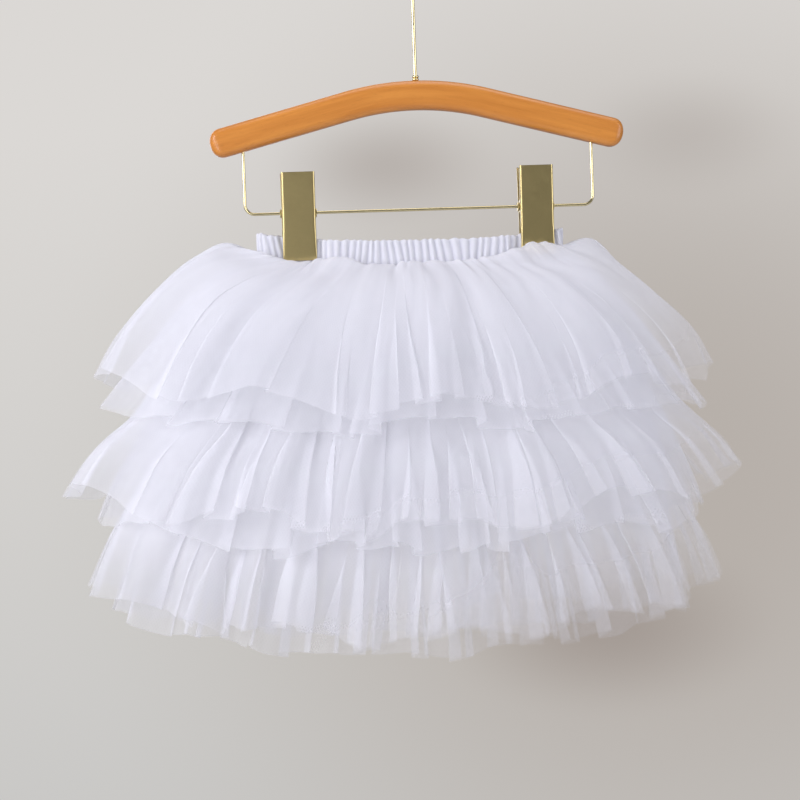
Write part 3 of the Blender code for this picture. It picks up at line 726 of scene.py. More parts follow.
def fold_relief(place, folds, columns, seed):
    """How far out a fold stands, smooth, with the solids' uneven strengths."""
    strength = fold_strengths(folds, seed)
    phase = (place + 0.5) / columns
    return strength[np.floor(phase).astype(int) % folds] * np.sin(2.0 * math.pi * phase)


def waist_z(x):
    """Height of the waistband's top edge, which rises towards its ends and falls to the right."""
    from_middle = x - WAIST_CENTRE_X
    rise = WAIST_END_RISE * (np.abs(from_middle) / WAIST_HALF_WIDTH) ** WAIST_RISE_POWER
    return WAIST_TOP_Z + rise - WAIST_TILT * from_middle


def sloped_z(x, row):
    """Height round a section, from its front's to its two sides'."""
    half_width, _, left_z, right_z, front_z, lateness = row
    from_middle = x - middle_x(row)
    side_z = np.where(from_middle < 0.0, left_z, right_z)
    outwards = np.minimum(1.0, np.abs(from_middle) / half_width)
    return front_z + (side_z - front_z) * outwards ** lateness


def sewn_at_waist(layers_outside):
    """First ring of a layer sewn to the waistband's lower edge."""
    out = SEAM_HALF_WALL + (2 - layers_outside) * SEAM_STEP
    below = SEAM_GAP + SEAM_HALF_WALL + layers_outside * SEAM_DROP

    def ring(share):
        level, _ = pick(waist_curve(out), share)
        return np.column_stack((level, waist_z(level[:, 0]) - WAIST_HEIGHT - below))
    return ring


def sewn_on_base(row, next_row, part):
    """First ring of a tier that is sewn on the base skirt."""
    seam = tuple(here + (there - here) * part for here, there in zip(row, next_row))

    def ring(share):
        points, normals = pick(skirt_curve(seam), share)
        return np.column_stack((points + normals * TIER_SEAM_OUT, sloped_z(points[:, 0], seam)))
    return ring


SEAMS = {
    "base_skirt": sewn_at_waist(2),
    "tier_1_under": sewn_at_waist(1),
    "tier_1_outer": sewn_at_waist(0),
    "tier_2_under": sewn_on_base(BASE_ROWS[1], BASE_ROWS[2], 0.10),
    "tier_2_outer": sewn_on_base(BASE_ROWS[1], BASE_ROWS[2], 0.0),
    "tier_3_outer": sewn_on_base(BASE_ROWS[2], BASE_ROWS[3], 0.0),
}


# Tulle

def spline_down(rings, count):
    """Rings of a smooth surface through the sections, evenly spaced from seam to hem."""
    rings = np.array(rings)
    gaps = np.linalg.norm(np.diff(rings, axis=0), axis=2).mean(axis=1)
    depth = np.concatenate(([0.0], np.cumsum(gaps)))
    slopes = np.gradient(rings, depth, axis=0)
    at = np.linspace(0.0, depth[-1], count)
    low = np.clip(np.searchsorted(depth, at, side="right") - 1, 0, len(depth) - 2)
    gap = (depth[low + 1] - depth[low])[:, None, None]
    part = (at - depth[low])[:, None, None] / gap
    square = part * part
    cube = square * part
    surface = (
        (2.0 * cube - 3.0 * square + 1.0) * rings[low]
        + (cube - 2.0 * square + part) * gap * slopes[low]
        + (3.0 * square - 2.0 * cube) * rings[low + 1]
        + (cube - square) * gap * slopes[low + 1])
    return surface, at


def puffed_ring(seam, share):
    """The cloth's turn-over just outside the seam, where it stands up before it falls."""
    _, normals = pick(waist_curve(0.0), share)
    across = seam[:, 0] / MM
    heights = np.where(
        normals[:, 1] < 0.0,
        np.interp(across, *zip(*PUFF_FRONT)),
        np.interp(across, *zip(*PUFF_BACK)))
    ring = seam.copy()
    ring[:, :2] += normals * PUFF_OUT
    ring[:, 2] += heights * MM
    return ring


def smooth_form(name, layer):
    """The solid's form of a layer as a fine smooth surface, with the distance down it."""
    share = np.arange(FORM_COLUMNS) / FORM_COLUMNS
    place = column_place(share, SOLID_COLUMNS // SOLID_GROUP, SOLID_GROUP, SOLID_SEED)
    relief = fold_relief(place, SOLID_COLUMNS // layer.fold_columns, layer.fold_columns, layer.seed)
    rings = [SEAMS[name](share)]
    if name == "tier_1_outer":
        rings.append(puffed_ring(rings[0], share))
    for index, row in enumerate(layer.rows):
        down = max(0, index + 1 - layer.smooth_rows) / (len(layer.rows) - layer.smooth_rows)
        moved = share + layer.wander * down * np.sin(6.0 * math.pi * share + layer.seed)
        level, normals = pick(skirt_curve(row), moved)
        level = level + normals * (layer.fold_depth * down * relief)[:, None]
        z = sloped_z(level[:, 0], row)
        z = z + layer.scallop_height * down ** 2 * np.sin(
            2.0 * math.pi * layer.scallops * moved + layer.seed)
        rings.append(np.column_stack((level, z)))
    return spline_down(rings, layer.rings)


def outward(surface):
    """Unit normals of a surface of rings, pointing out."""
    round_way = np.roll(surface, -1, axis=1) - np.roll(surface, 1, axis=1)
    down_way = np.gradient(surface, axis=0)
    normals = -np.cross(round_way, down_way)
    return normals / np.maximum(np.linalg.norm(normals, axis=2, keepdims=True), 1e-12)


def look_along(surface, share):
    """The surface's points at other shares of the way round, ring by ring."""
    columns = surface.shape[1]
    place = np.mod(share, 1.0) * columns
    low = np.floor(place).astype(int) % columns
    part = (place - np.floor(place))[:, :, None]
    rows = np.arange(surface.shape[0])[:, None]
    return surface[rows, low] * (1.0 - part) + surface[rows, (low + 1) % columns] * part


def crease_shares(hem, creases, front):
    """Where round the hem each crease lies, from its distance across in mm."""
    columns = len(hem)
    half = np.arange(columns // 2) + (columns // 2 if front else 0)
    across = hem[half, 0]
    order = np.argsort(across)
    return [float(np.interp(x * MM, across[order], half[order] / columns)) for x, _ in creases]


def pleats_of(name, layer, hem):
    """Every pleat: share of the way round, fold-over, start of its growth, slant in shares."""
    chance = np.random.default_rng(PLEAT_SEED + layer.seed)
    pleats = []
    for creases, front in ((layer.front, True), (layer.back, False)):
        shares = crease_shares(hem, creases, front)
        for share, (_, over) in zip(shares, creases):
            start = chance.uniform(0.0, PLEAT_START)
            pleats.append((share, over * MM, start, chance.uniform(-PLEAT_SLANT, PLEAT_SLANT)))
    for share in (np.arange(layer.small_pleats) + chance.uniform(-0.4, 0.4, layer.small_pleats)):
        over = chance.uniform(*SMALL_PLEAT_MM) * chance.choice((-1.0, 1.0))
        start = chance.uniform(*SMALL_PLEAT_START)
        pleats.append((float(share) / layer.small_pleats % 1.0, over * MM, start,
                       chance.uniform(-SMALL_PLEAT_SLANT, SMALL_PLEAT_SLANT)))
    return sorted((share, over * layer.overlap, start, slant) for share, over, start, slant in pleats)


def turn_width(size):
    """Half the width within which a crease of a given fold-over turns."""
    return TURN_LEAST + TURN_SHARE * size


def crowded_shares(pleats, columns, hem_length):
    """Shares of the way round for a mesh's columns, closer together where the cloth turns."""
    fine = np.linspace(0.0, 1.0, SAMPLES_A_COLUMN * columns + 1)
    density = np.ones(len(fine))
    for place, over, _, _ in pleats:
        distance = (np.mod(fine - place + 0.5, 1.0) - 0.5) * hem_length
        density += CROWDING * np.exp(-(distance / (CROWDING * turn_width(abs(over)))) ** 2)
    reached = np.concatenate(([0.0], np.cumsum(density[:-1])))
    return np.interp(np.arange(columns) / columns, reached / reached[-1], fine)


def fold_cloth(surface, layer, pleats, at):
    """Folds, gathers and crinkles laid on a layer's smooth form."""
    rings = surface.shape[0]
    down = np.linspace(0.0, 1.0, rings)
    round_length = np.linalg.norm(np.roll(surface, -1, axis=1) - surface, axis=2).sum(axis=1)
    hem_length = round_length[-1]
    narrowing = round_length / hem_length
    share = crowded_shares(pleats, layer.columns, hem_length)
    slide = np.zeros((rings, layer.columns))
    raised = np.zeros((rings, layer.columns))
    for place, over, start, slant in pleats:
        middle = place + slant * (1.0 - down)
        distance = (np.mod(share[None, :] - middle[:, None] + 0.5, 1.0) - 0.5) * hem_length
        grow = (smooth_step((down - start) / (1.0 - start)) ** 0.8)[:, None]
        size = abs(over)
        rise_width = layer.softness * (RISE_WIDTH_LEAST + RISE_WIDTH_SHARE * size)
        rise = math.copysign(RISE_LEAST + RISE_SHARE * size, over)
        slide -= grow * size * swing(distance / turn_width(size)) / hem_length
        raised -= grow * narrowing[:, None] ** 0.5 * rise * swing(distance / rise_width)
    wave = 2.0 * math.pi * share
    jitter = 0.9 * np.sin(7.0 * wave + layer.seed) + 0.7 * np.sin(13.0 * wave + 2.0)
    patchy = 0.65 + 0.35 * np.sin(9.0 * wave + 1.3 * layer.seed)
    for count, height, reach in SEAM_GATHERS:
        grown = smooth_step(at / 0.005) * np.exp(-at / reach)
        bend = 1.4 * np.sin(2.0 * math.pi * at / 0.07 + count)[:, None] * np.sin(5.0 * wave)[None, :]
        raised += height * grown[:, None] * patchy * np.sin(count * wave + jitter + bend)
    chance = np.random.default_rng(CRINKLE_SEED + layer.seed)
    for _ in range(CRINKLES):
        count = int(chance.integers(12, 44))
        phase = chance.uniform(0.0, 2.0 * math.pi)
        drift = chance.uniform(0.5, 2.2) * np.sin(
            2.0 * math.pi * (down * chance.uniform(0.6, 1.8) + chance.uniform()))
        strong = 0.5 + 0.5 * np.sin(chance.integers(2, 9) * wave + chance.uniform(0.0, 6.0))
        raised += (CRINKLE_HEIGHT * smooth_step(at / 0.02)[:, None] * strong[None, :]
                   * np.sin(count * wave[None, :] + phase + drift[:, None]))
    moved = share[None, :] + slide
    folded = look_along(surface, moved) + look_along(outward(surface), moved) * raised[:, :, None]
    return folded, share, hem_length


def uneven_cut(folded, share, layer, pleats, hem_length):
    """Tilts each panel's lower edge, so that the hem steps at its creases."""
    chance = np.random.default_rng(CUT_SEED + layer.seed)
    stops = []
    heights = []
    for place, over, _, _ in pleats:
        half = turn_width(abs(over)) / hem_length
        strength = min(1.0, abs(over) / FULL_JAG_FOLD)
        for side in (-half, half):
            stops.append(place + side)
            heights.append(strength * layer.jag * chance.uniform(-1.0, 1.0))
    order = np.argsort(stops)
    stops = np.array(stops)[order]
    heights = np.array(heights)[order]
    cut = np.interp(share, stops, heights, period=1.0)
    down = np.linspace(0.0, 1.0, folded.shape[0])
    folded[:, :, 2] += smooth_step((down - HEM_STARTS) / (1.0 - HEM_STARTS))[:, None] * cut[None, :]
    return folded


def streaks_of(along, at, seed):
    """Streaks where the gathered net lies closer: 5 to 20 mm wide and many times as long, 0 to 1."""
    chance = np.random.default_rng(STREAK_SEED + seed)
    streak = np.zeros((len(at), len(along)))
    for width, share in STREAKS:
        count = int(1.0 / width)
        knots = np.arange(count) / count
        for length in STREAK_LENGTHS:
            values = chance.uniform(-1.0, 1.0, count)
            drift = 0.25 * width * np.sin(2.0 * math.pi * at / length + chance.uniform(0.0, 6.0))
            place = along[None, :] + drift[:, None]
            streak += STREAK_STRENGTH * share * np.interp(place, knots, values, period=1.0)
    return np.clip(0.5 + 0.5 * streak, 0.0, 1.0)


def cover_of(name, folded, layer, hem_share, streak):
    """How much of the view one crossing of the cloth stops, more where it is gathered."""
    round_length = np.linalg.norm(np.roll(folded, -1, axis=1) - folded, axis=2).sum(axis=1)
    gathered = np.clip(round_length[-1] / round_length, 1.0, MOST_GATHERED)
    bunched = 1.0 - layer.bunched * np.clip(folded[:, :, 0] / BUNCHED_OVER, -1.0, 1.0)
    near_hem = smooth_step((np.linspace(0.0, 1.0, len(folded)) - HEM_STARTS) / (1.0 - HEM_STARTS))
    nets = layer.plies * bunched * (gathered * (1.0 - HEM_THINNING * near_hem))[:, None]
    for middle, reach, missing in THIN_PLACES.get(name, ()):
        near = np.exp(-((folded[:, :, 0] / MM - middle) / reach) ** 2) * (folded[:, :, 1] < 0.0)
        nets = nets * (1.0 - missing * near)
    closeness = 1.0 - 0.5 * STREAK_COVER + STREAK_COVER * streak
    cover = (1.0 - (1.0 - hem_share) ** nets) * closeness
    return np.minimum(1.0, cover)


def make_tulle_layer(name, layer, material, settings):
    """One layer of tulle as a single thin sheet, sewn at its top and open at its hem."""
    surface, at = smooth_form(name, layer)
    pleats = pleats_of(name, layer, surface[-1])
    folded, share, hem_length = fold_cloth(surface, layer, pleats, at)
    folded = uneven_cut(folded, share, layer, pleats, hem_length)
    mesh = grid_mesh("tulle_" + name, folded)
    along = way_round(folded[-1])
    across = np.repeat(along[None, :-1], layer.rings, axis=0)
    deep = np.repeat(at[:, None], layer.columns, axis=1)
    lay_uv(mesh, "cloth", across, deep, layer.columns, along[-1])
    streak = streaks_of(share, at, layer.seed)
    add_point_value(mesh, "streak", streak)
    add_point_value(mesh, "cover", cover_of(name, folded, layer, settings.cover, streak))
    sheet = bpy.data.objects.new("tulle_" + name, mesh)
    dress(sheet, material, "tulle", name)
    return sheet


# Waistband

def make_waistband(material, rib_height):
    """Casing of jersey gathered over elastic: soft uneven ribs, rolled edges, plain inside."""
    columns = GATHERS * COLUMNS_A_GATHER
    share = np.arange(columns) / columns
    place = column_place(share, GATHERS, GATHER_GROUP, BAND_SEED)
    strength = fold_strengths(GATHERS, BAND_SEED)
    own = np.random.default_rng(BAND_OWN_SEED)
    fat = own.uniform(RIB_LEAST_FAT, RIB_MOST_FAT, GATHERS)
    lift = own.uniform(-EDGE_LIFT, EDGE_LIFT, GATHERS)
    wave = 2.0 * math.pi * share
    tilt = 0.42 * np.sin(4.0 * wave + 1.0) + 0.28 * np.sin(11.0 * wave + 2.0) + 0.1
    inner, _ = pick(waist_curve(0.0), share)
    outer, normals = pick(waist_curve(BAND_WALL), share)
    rings = []
    hollows = []
    for wall, height, shown, roll in BAND_SECTION:
        phase = (place + 0.5) / GATHER_GROUP + tilt * (height - 0.5)
        number = np.floor(phase).astype(int) % GATHERS
        part = phase - np.floor(phase)
        round_top = (0.5 + 0.5 * np.sin(2.0 * math.pi * part)) ** RIB_ROUNDNESS
        blend = smooth_step(part * 2.0) * smooth_step(2.0 - 2.0 * part)
        size = 1.0 + (strength[number] * fat[number] - 1.0) * blend
        ridge = 2.0 * round_top - 1.0
        level = inner + (outer - inner) * wall
        level = level + normals * (rib_height * shown * ridge * size - RIB_SINK * shown)[:, None]
        z = waist_z(outer[:, 0]) - WAIST_HEIGHT * (1.0 - height)
        z = z + roll * (lift[number] * blend + EDGE_ROLL * ridge)
        rings.append(np.column_stack((level, z)))
        # Painted shade: each point's share of the darker colour grows towards the bottom of a hollow
        # between two ribs.
        hollows.append(shown * (1.0 - round_top) ** 1.5)
    points = np.array(rings)
    mesh = grid_mesh("jersey_waistband", points, flip=True, rolled=True)
    along = JERSEY_GATHERED_IN * way_round(points[BAND_ROW_ROUND])
    heights = np.cumsum(np.concatenate(([0.0], np.linalg.norm(
        np.diff(points[:, 0], axis=0), axis=1))))
    lay_uv(mesh, "cloth", np.repeat(along[None, :-1], len(points), axis=0),
           np.repeat(heights[:, None], columns, axis=1), columns, along[-1])
    add_point_value(mesh, "painted_rib_shade", np.array(hollows))
    band = bpy.data.objects.new("jersey_waistband", mesh)
    dress(band, material, "jersey", "waistband")
    return band


# Hanger

def arc(centre, radius, start, end, steps):
    """Points on an arc in the XZ plane, ends included."""
    return [(centre[0] + radius * math.cos(angle), centre[1] + radius * math.sin(angle))
            for angle in np.linspace(start, end, steps)]


def arm_start():
    """Where the right arm's top edge leaves the arc."""
    return (BAR_ARC_RADIUS * math.sin(BAR_ARM_SLOPE),
            BAR_TOP_Z - BAR_ARC_RADIUS * (1.0 - math.cos(BAR_ARM_SLOPE)))


def bar_underside_z(x):
    """Height of the bar's lower edge on its straight arms."""
    start_x, start_z = arm_start()
    at_x = start_x - BAR_HEIGHT * math.sin(BAR_ARM_SLOPE)
    at_z = start_z - BAR_HEIGHT * math.cos(BAR_ARM_SLOPE)
    return at_z - (abs(x) - at_x) * math.tan(BAR_ARM_SLOPE)


def bar_sections():
    """Stations along the bar: place of the middle, direction of its length, distance to its end."""
    start_x, _ = arm_start()
    arc_length = (BAR_ARC_RADIUS - 0.5 * BAR_HEIGHT) * BAR_ARM_SLOPE
    tip_down = 0.5 * BAR_HEIGHT * math.sin(BAR_ARM_SLOPE)
    arm = (BAR_HALF_LENGTH - start_x + tip_down) / math.cos(BAR_ARM_SLOPE)
    half = arc_length + arm
    near_end = BAR_END_RADIUS * (1.0 - np.cos(np.linspace(0.0, 0.5 * math.pi, BAR_STATIONS_AT_END)))
    middle = np.linspace(BAR_END_RADIUS, half, BAR_STATIONS_A_HALF)[1:]
    from_end = np.concatenate((near_end, middle))
    along = np.concatenate((from_end - half, (half - from_end)[::-1][1:]))
    return along, half, arc_length


def make_hanger_bar(material):
    """Bowed bar of beech: rounded edges, flat faces and blunt round ends."""
    along, half, arc_length = bar_sections()
    radius = BAR_ARC_RADIUS - 0.5 * BAR_HEIGHT
    centre_z = BAR_TOP_Z - BAR_ARC_RADIUS
    count = BAR_POINTS_ROUND
    angle = 2.0 * math.pi * (np.arange(count) + 0.5) / count
    rings = []
    for place in along:
        side = 1.0 if place >= 0.0 else -1.0
        reach = abs(place)
        turn = min(reach, arc_length) / radius
        straight = max(0.0, reach - arc_length)
        x = side * (radius * math.sin(turn) + straight * math.cos(turn))
        z = centre_z + radius * math.cos(turn) - straight * math.sin(turn)
        up = np.array((side * math.sin(turn), 0.0, math.cos(turn)))
        from_end = half - reach
        in_height = max(0.0, BAR_END_RADIUS - from_end)
        in_depth = max(0.0, BAR_EDGE_RADIUS - from_end)
        half_height = 0.5 * BAR_HEIGHT - BAR_END_RADIUS + math.sqrt(
            max(0.0, BAR_END_RADIUS ** 2 - in_height ** 2))
        half_thick = 0.5 * BAR_THICKNESS - BAR_EDGE_RADIUS + math.sqrt(
            max(0.0, BAR_EDGE_RADIUS ** 2 - in_depth ** 2))
        corner = min(BAR_EDGE_RADIUS, 0.98 * half_height, 0.98 * half_thick)
        flat_up = half_height - corner
        flat_back = half_thick - corner
        round_up = corner * np.sin(angle) + np.sign(np.sin(angle)) * flat_up
        round_back = corner * np.cos(angle) + np.sign(np.cos(angle)) * flat_back
        middle = np.array((x, 0.0, z))
        rings.append(middle + round_up[:, None] * up + round_back[:, None] * np.array((0.0, 1.0, 0.0)))
    points = np.array(rings)
    mesh = grid_mesh("beech_bar", points)
    # Grain coordinates: the length along the bar, then the distance round it near its middle
    round_bar = way_round(points[BAR_GIRTH_STATION])
    lay_uv(mesh, "grain", np.repeat(round_bar[None, :-1], len(along), axis=0),
           np.repeat(along[:, None], count, axis=1), count, round_bar[-1], along_first=False)
    work = bmesh.new()
    work.from_mesh(mesh)
    work.verts.ensure_lookup_table()
    for ring_start in (0, (len(along) - 1) * count):
        work.faces.new([work.verts[ring_start + step] for step in range(count)])
    bmesh.ops.recalc_face_normals(work, faces=work.faces)
    for each in work.faces:
        each.smooth = True
    work.to_mesh(mesh)
    work.free()
    bar = bpy.data.objects.new("beech_bar", mesh)
    return dress(bar, material, "beech", "hanger_bar")


def make_wire(name, places, radius, fineness, material, slot, node):
    """A round wire through places."""
    curve = bpy.data.curves.new(name, "CURVE")
    curve.dimensions = "3D"
    curve.bevel_depth = radius
    curve.bevel_resolution = fineness
    curve.use_fill_caps = True
    spline = curve.splines.new("POLY")
    spline.points.add(len(places) - 1)
    for point, (x, y, z) in zip(spline.points, places):
        point.co = (x, y, z, 1.0)
    spline.use_smooth = True
    return dress(bpy.data.objects.new(name, curve), material, slot, node)


def make_flat_wire(name, points, diameter, material, node):
    """A round wire bent in the XZ plane."""
    places = [(x, 0.0, z) for x, z in points]
    return make_wire(name, places, 0.5 * diameter, WIRE_FINENESS, material, "brass_wire", node)


def make_hook(material, wire):
    """Straight stem, a tight bend to the right and an open curl over to the left."""
    radius = HOOK_INNER_RADIUS + 0.5 * wire
    centre = (0.0, -HOOK_INNER_RADIUS)
    bend = radius * math.cos(HOOK_JOIN_ANGLE) / (1.0 - math.cos(HOOK_JOIN_ANGLE))
    bend_z = centre[1] - (radius + bend) * math.sin(HOOK_JOIN_ANGLE)
    points = [(0.0, BAR_TOP_Z - HOOK_IN_BAR), (0.0, 0.5 * (BAR_TOP_Z + bend_z))]
    points += arc((bend, bend_z), bend, math.pi, math.pi - HOOK_JOIN_ANGLE, HOOK_BEND_STEPS)
    points += arc(centre, radius, -HOOK_JOIN_ANGLE, HOOK_TIP_ANGLE, HOOK_CURL_STEPS)[1:]
    return make_flat_wire("brass_hook", points, wire, material, "hook")


def make_rail(material, wire):
    """Wire trapeze: down from one arm, across under the bar and up into the other."""
    radius = RAIL_CORNER_RADIUS
    leg_top = bar_underside_z(RAIL_HALF_WIDTH) + RAIL_IN_BAR
    corner = RAIL_HALF_WIDTH - radius
    points = [(-RAIL_HALF_WIDTH, leg_top)]
    points += arc((-corner, RAIL_Z + radius), radius, math.pi, 1.5 * math.pi, RAIL_CORNER_STEPS)
    points += arc((corner, RAIL_Z + radius), radius, 1.5 * math.pi, 2.0 * math.pi, RAIL_CORNER_STEPS)
    points += [(RAIL_HALF_WIDTH, leg_top)]
    return make_flat_wire("brass_rail", points, wire, material, "clip_rail")


def make_ferrule(material, wire):
    """Small collar of two round beads where the hook enters the bar."""
    inside = 0.5 * wire
    half = 0.5 * FERRULE_HEIGHT
    profile = [(inside, -half)]
    for bead in (-0.5 * half, 0.5 * half):
        for angle in np.linspace(-0.5 * math.pi, 0.5 * math.pi, FERRULE_BEAD_STEPS):
            profile.append((inside + FERRULE_BEAD_OUT + (FERRULE_RADIUS - inside) * math.cos(angle),
                            bead + 0.5 * half * math.sin(angle)))
    profile.append((inside, half))
    turns = np.linspace(0.0, 2.0 * math.pi, FERRULE_SIDES, endpoint=False)
    rings = [[(radius * math.cos(turn), radius * math.sin(turn), height) for turn in turns]
             for radius, height in profile]
    points = np.array(rings)
    points[:, :, 2] += BAR_TOP_Z + half
    mesh = grid_mesh("brass_ferrule", points, flip=True)
    return dress(bpy.data.objects.new("brass_ferrule", mesh), material, "brass_wire", "hook_ferrule")


# Clips

def plate_rows(centre_x, lug_depth):
    """Height above the wire and depth of the side flanges, smoothed down a plate."""
    lean = math.atan2(CLIP_RAIL_Y - CLIP_JAW_Y, RAIL_Z - CLIP_BOTTOM_Z)
    top = (CLIP_TOP_Z - RAIL_Z) / math.cos(lean)
    bottom = (CLIP_BOTTOM_Z - RAIL_Z) / math.cos(lean)
    above_band = float(waist_z(centre_x)) + CLIP_ABOVE_BAND - RAIL_Z
    lug = CLIP_LUG_HALF_HEIGHT
    shoulder = lug + CLIP_LUG_SHOULDER
    rows = ((top, CLIP_TOP_FLANGE), (top - CLIP_TAPER, CLIP_FLANGE), (shoulder, CLIP_FLANGE),
            (lug, lug_depth), (-lug, lug_depth), (-shoulder, CLIP_FLANGE),
            (above_band + 2.0 * CLIP_TAPER, CLIP_FLANGE), (above_band, CLIP_JAW_FLANGE),
            (bottom, CLIP_TIP_FLANGE))
    heights = [rows[0][0]]
    depths = [rows[0][1]]
    for (high, deep), (low, next_deep) in zip(rows, rows[1:]):
        for step in range(1, PLATE_STEPS + 1):
            part = step / PLATE_STEPS
            heights.append(high + (low - high) * part)
            depths.append(deep + (next_deep - deep) * float(smooth_step(part)))
    return heights, depths, lean


def make_plate(name, centre_x, side, lug_depth, material, node, settings):
    """A pressed plate with folded side flanges, which leans in towards its jaw."""
    heights, depths, lean = plate_rows(centre_x, lug_depth)
    rings = []
    for height, depth in zip(heights, depths):
        radius = min(CLIP_BEND_RADIUS, 0.6 * depth)
        half = [(CLIP_HALF_WIDTH, depth), (CLIP_HALF_WIDTH, 0.5 * (depth + radius))]
        half += [(CLIP_HALF_WIDTH - radius + radius * math.cos(turn), radius - radius * math.sin(turn))
                 for turn in np.linspace(0.0, 0.5 * math.pi, PLATE_BEND_STEPS)]
        bend_x = CLIP_HALF_WIDTH - radius
        flat = np.linspace(-bend_x, bend_x, PLATE_FACE_STEPS)[1:-1]
        across = [(-x, y) for x, y in half] + [(x, 0.0) for x in flat] + half[::-1]
        ring = []
        for x, deep in across:
            y = deep - CLIP_RAIL_Y
            ring.append((centre_x + x, side * (y - height * math.sin(lean)),
                         RAIL_Z + height * math.cos(lean)))
        rings.append(ring)
    points = np.array(rings)
    mesh = grid_mesh(name, points, closed=False, flip=side < 0)
    plate = bpy.data.objects.new(name, mesh)
    dress(plate, material, "brass_sheet", node)
    if side < 0:
        add_ears(mesh, centre_x, settings.clip_sheet)
    wall = plate.modifiers.new("Sheet", "SOLIDIFY")
    wall.thickness = settings.clip_sheet
    wall.offset = 0.0
    edge = plate.modifiers.new("Broken edges", "BEVEL")
    edge.width = settings.clip_edge
    edge.segments = 2
    edge.limit_method = "ANGLE"
    edge.angle_limit = BROKEN_ANGLE
    return plate


def add_ears(mesh, centre_x, sheet):
    """Tabs that hold a back plate on the wire, outside the front plate's flanges."""
    work = bmesh.new()
    work.from_mesh(mesh)
    reach = CLIP_HALF_WIDTH + sheet + EAR_GAP
    for side in (-1.0, 1.0):
        outline = [(EAR_END_Y, EAR_HALF_HEIGHT), (0.0, EAR_HALF_HEIGHT)]
        outline += [(-EAR_HALF_HEIGHT * 0.8 * math.sin(turn), EAR_HALF_HEIGHT * math.cos(turn))
                    for turn in np.linspace(0.0, math.pi, 13)[1:-1]]
        outline += [(0.0, -EAR_HALF_HEIGHT), (EAR_END_Y, -EAR_HALF_HEIGHT)]
        corners = [work.verts.new((centre_x + side * reach, y, RAIL_Z + z)) for y, z in outline]
        root = [work.verts.new((centre_x + side * CLIP_HALF_WIDTH, EAR_END_Y, RAIL_Z + z))
                for z in (-EAR_HALF_HEIGHT, EAR_HALF_HEIGHT)]
        order = corners if side > 0 else corners[::-1]
        work.faces.new(order)
        joint = [corners[-1], root[0], root[1], corners[0]]
        work.faces.new(joint if side < 0 else joint[::-1])
    work.to_mesh(mesh)
    work.free()
    mesh.shade_smooth()


def make_spring(name, centre_x, material, node):
    """A wound spring round the wire, between a clip's two plates."""
    middle = SPRING_RADIUS - 0.5 * SPRING_WIRE
    places = []
    for step in range(SPRING_POINTS_A_TURN * (SPRING_TURNS - 1) + 1):
        turns = step / SPRING_POINTS_A_TURN
        turn = 2.0 * math.pi * step / SPRING_POINTS_A_TURN + 0.5 * math.pi
        places.append((centre_x + SPRING_WIRE * (turns - 0.5 * (SPRING_TURNS - 1)),
                       middle * math.cos(turn), RAIL_Z + middle * math.sin(turn)))
    # The wire is a little thinner than its pitch, so that its turns show.
    return make_wire(name, places, 0.48 * SPRING_WIRE, SPRING_FINENESS, material, "spring_steel", node)


def make_clips(sheet, steel, settings):
    """Both clips, each with a front plate, a back plate with tabs and a spring."""
    for side_name, centre_x in CLIP_PLACES.items():
        clip = "clip_" + side_name
        for end, side, lug_depth in (("_front", 1.0, CLIP_RAIL_Y + CLIP_LUG_PAST_RAIL),
                                     ("_back", -1.0, CLIP_FLANGE)):
            make_plate("brass_" + clip + end, centre_x, side, lug_depth, sheet, clip + end, settings)
        make_spring("steel_spring_" + side_name, centre_x, steel, clip + "_spring")


# Stage

# name, place, side of the square, share of the main light's power
LIGHTS = (
    ("window_left", (-1.8, -1.0, 0.4), 1.1, 0.92),
    ("front_left", (-0.9, -1.6, -0.5), 0.9, 0.23),
    ("fill_right", (1.9, -1.3, 0.1), 1.6, 0.60),
    ("top", (0.2, -0.1, 1.6), 1.4, 0.36),
    ("behind", (-0.6, 2.0, 0.3), 1.6, 0.30),
)
LIGHT_COLOUR = (0.97, 0.97, 1.07)
LIGHT_AIM = (0.0, 0.0, -0.32)
CAMERA_AIM = (-0.0194, 0.0, -0.327)
SENSOR_WIDTH = 36.0
LIGHT_BOUNCES = 5
NETS_SEEN_THROUGH = 32
FLOOR_RADIUS = 4.0


def soft_light(name, place, size, power):
    """A square soft light that faces the skirt."""
    lamp = bpy.data.lights.new(name, "AREA")
    lamp.shape = "SQUARE"
    lamp.size = size
    lamp.energy = power
    lamp.color = LIGHT_COLOUR
    light = bpy.data.objects.new(name, lamp)
    light.location = place
    light.rotation_euler = (Vector(LIGHT_AIM) - Vector(place)).to_track_quat("-Z", "Y").to_euler()
    bpy.context.scene.collection.objects.link(light)
    return light


def make_camera(settings):
    """Camera at the photograph's place, turned as the photograph is."""
    azimuth = settings.camera_azimuth
    away = Vector((math.sin(azimuth), -math.cos(azimuth), 0.0))
    lens = bpy.data.cameras.new("camera")
    lens.sensor_width = SENSOR_WIDTH
    lens.lens = SENSOR_WIDTH * settings.camera_distance / settings.view_width
    lens.clip_start = 0.05
    lens.clip_end = 50.0
    camera = bpy.data.objects.new("camera", lens)
    camera.location = Vector(CAMERA_AIM) + away * settings.camera_distance
    turn = (-away).to_track_quat("-Z", "Y")
    roll = Matrix.Rotation(-settings.camera_roll, 4, "Z")
    camera.rotation_euler = (turn.to_matrix().to_4x4() @ roll).to_euler()
    bpy.context.scene.collection.objects.link(camera)
    bpy.context.scene.camera = camera
    return camera


# The wall's shade at the right: direction seen in, where it starts and where it is full
WALL_SHADE = ((0.165, 0.985, -0.035), 0.24, 0.02)
# Painted shade low down on the wall: height of the direction seen in where it starts and where it is full
WALL_LOW_STARTS = 0.10
WALL_LOW_FULL = -0.16

# Soft shadows on the wall behind: direction seen in, reach across and up, share
WALL_SHADOWS = (
    ((0.0671, 0.9942, 0.0853), 0.048, 0.026, 0.55),
    ((0.1750, 0.9803, 0.0925), 0.048, 0.026, 0.32),
    ((0.1423, 0.9863, -0.0840), 0.068, 0.036, 1.0),
)


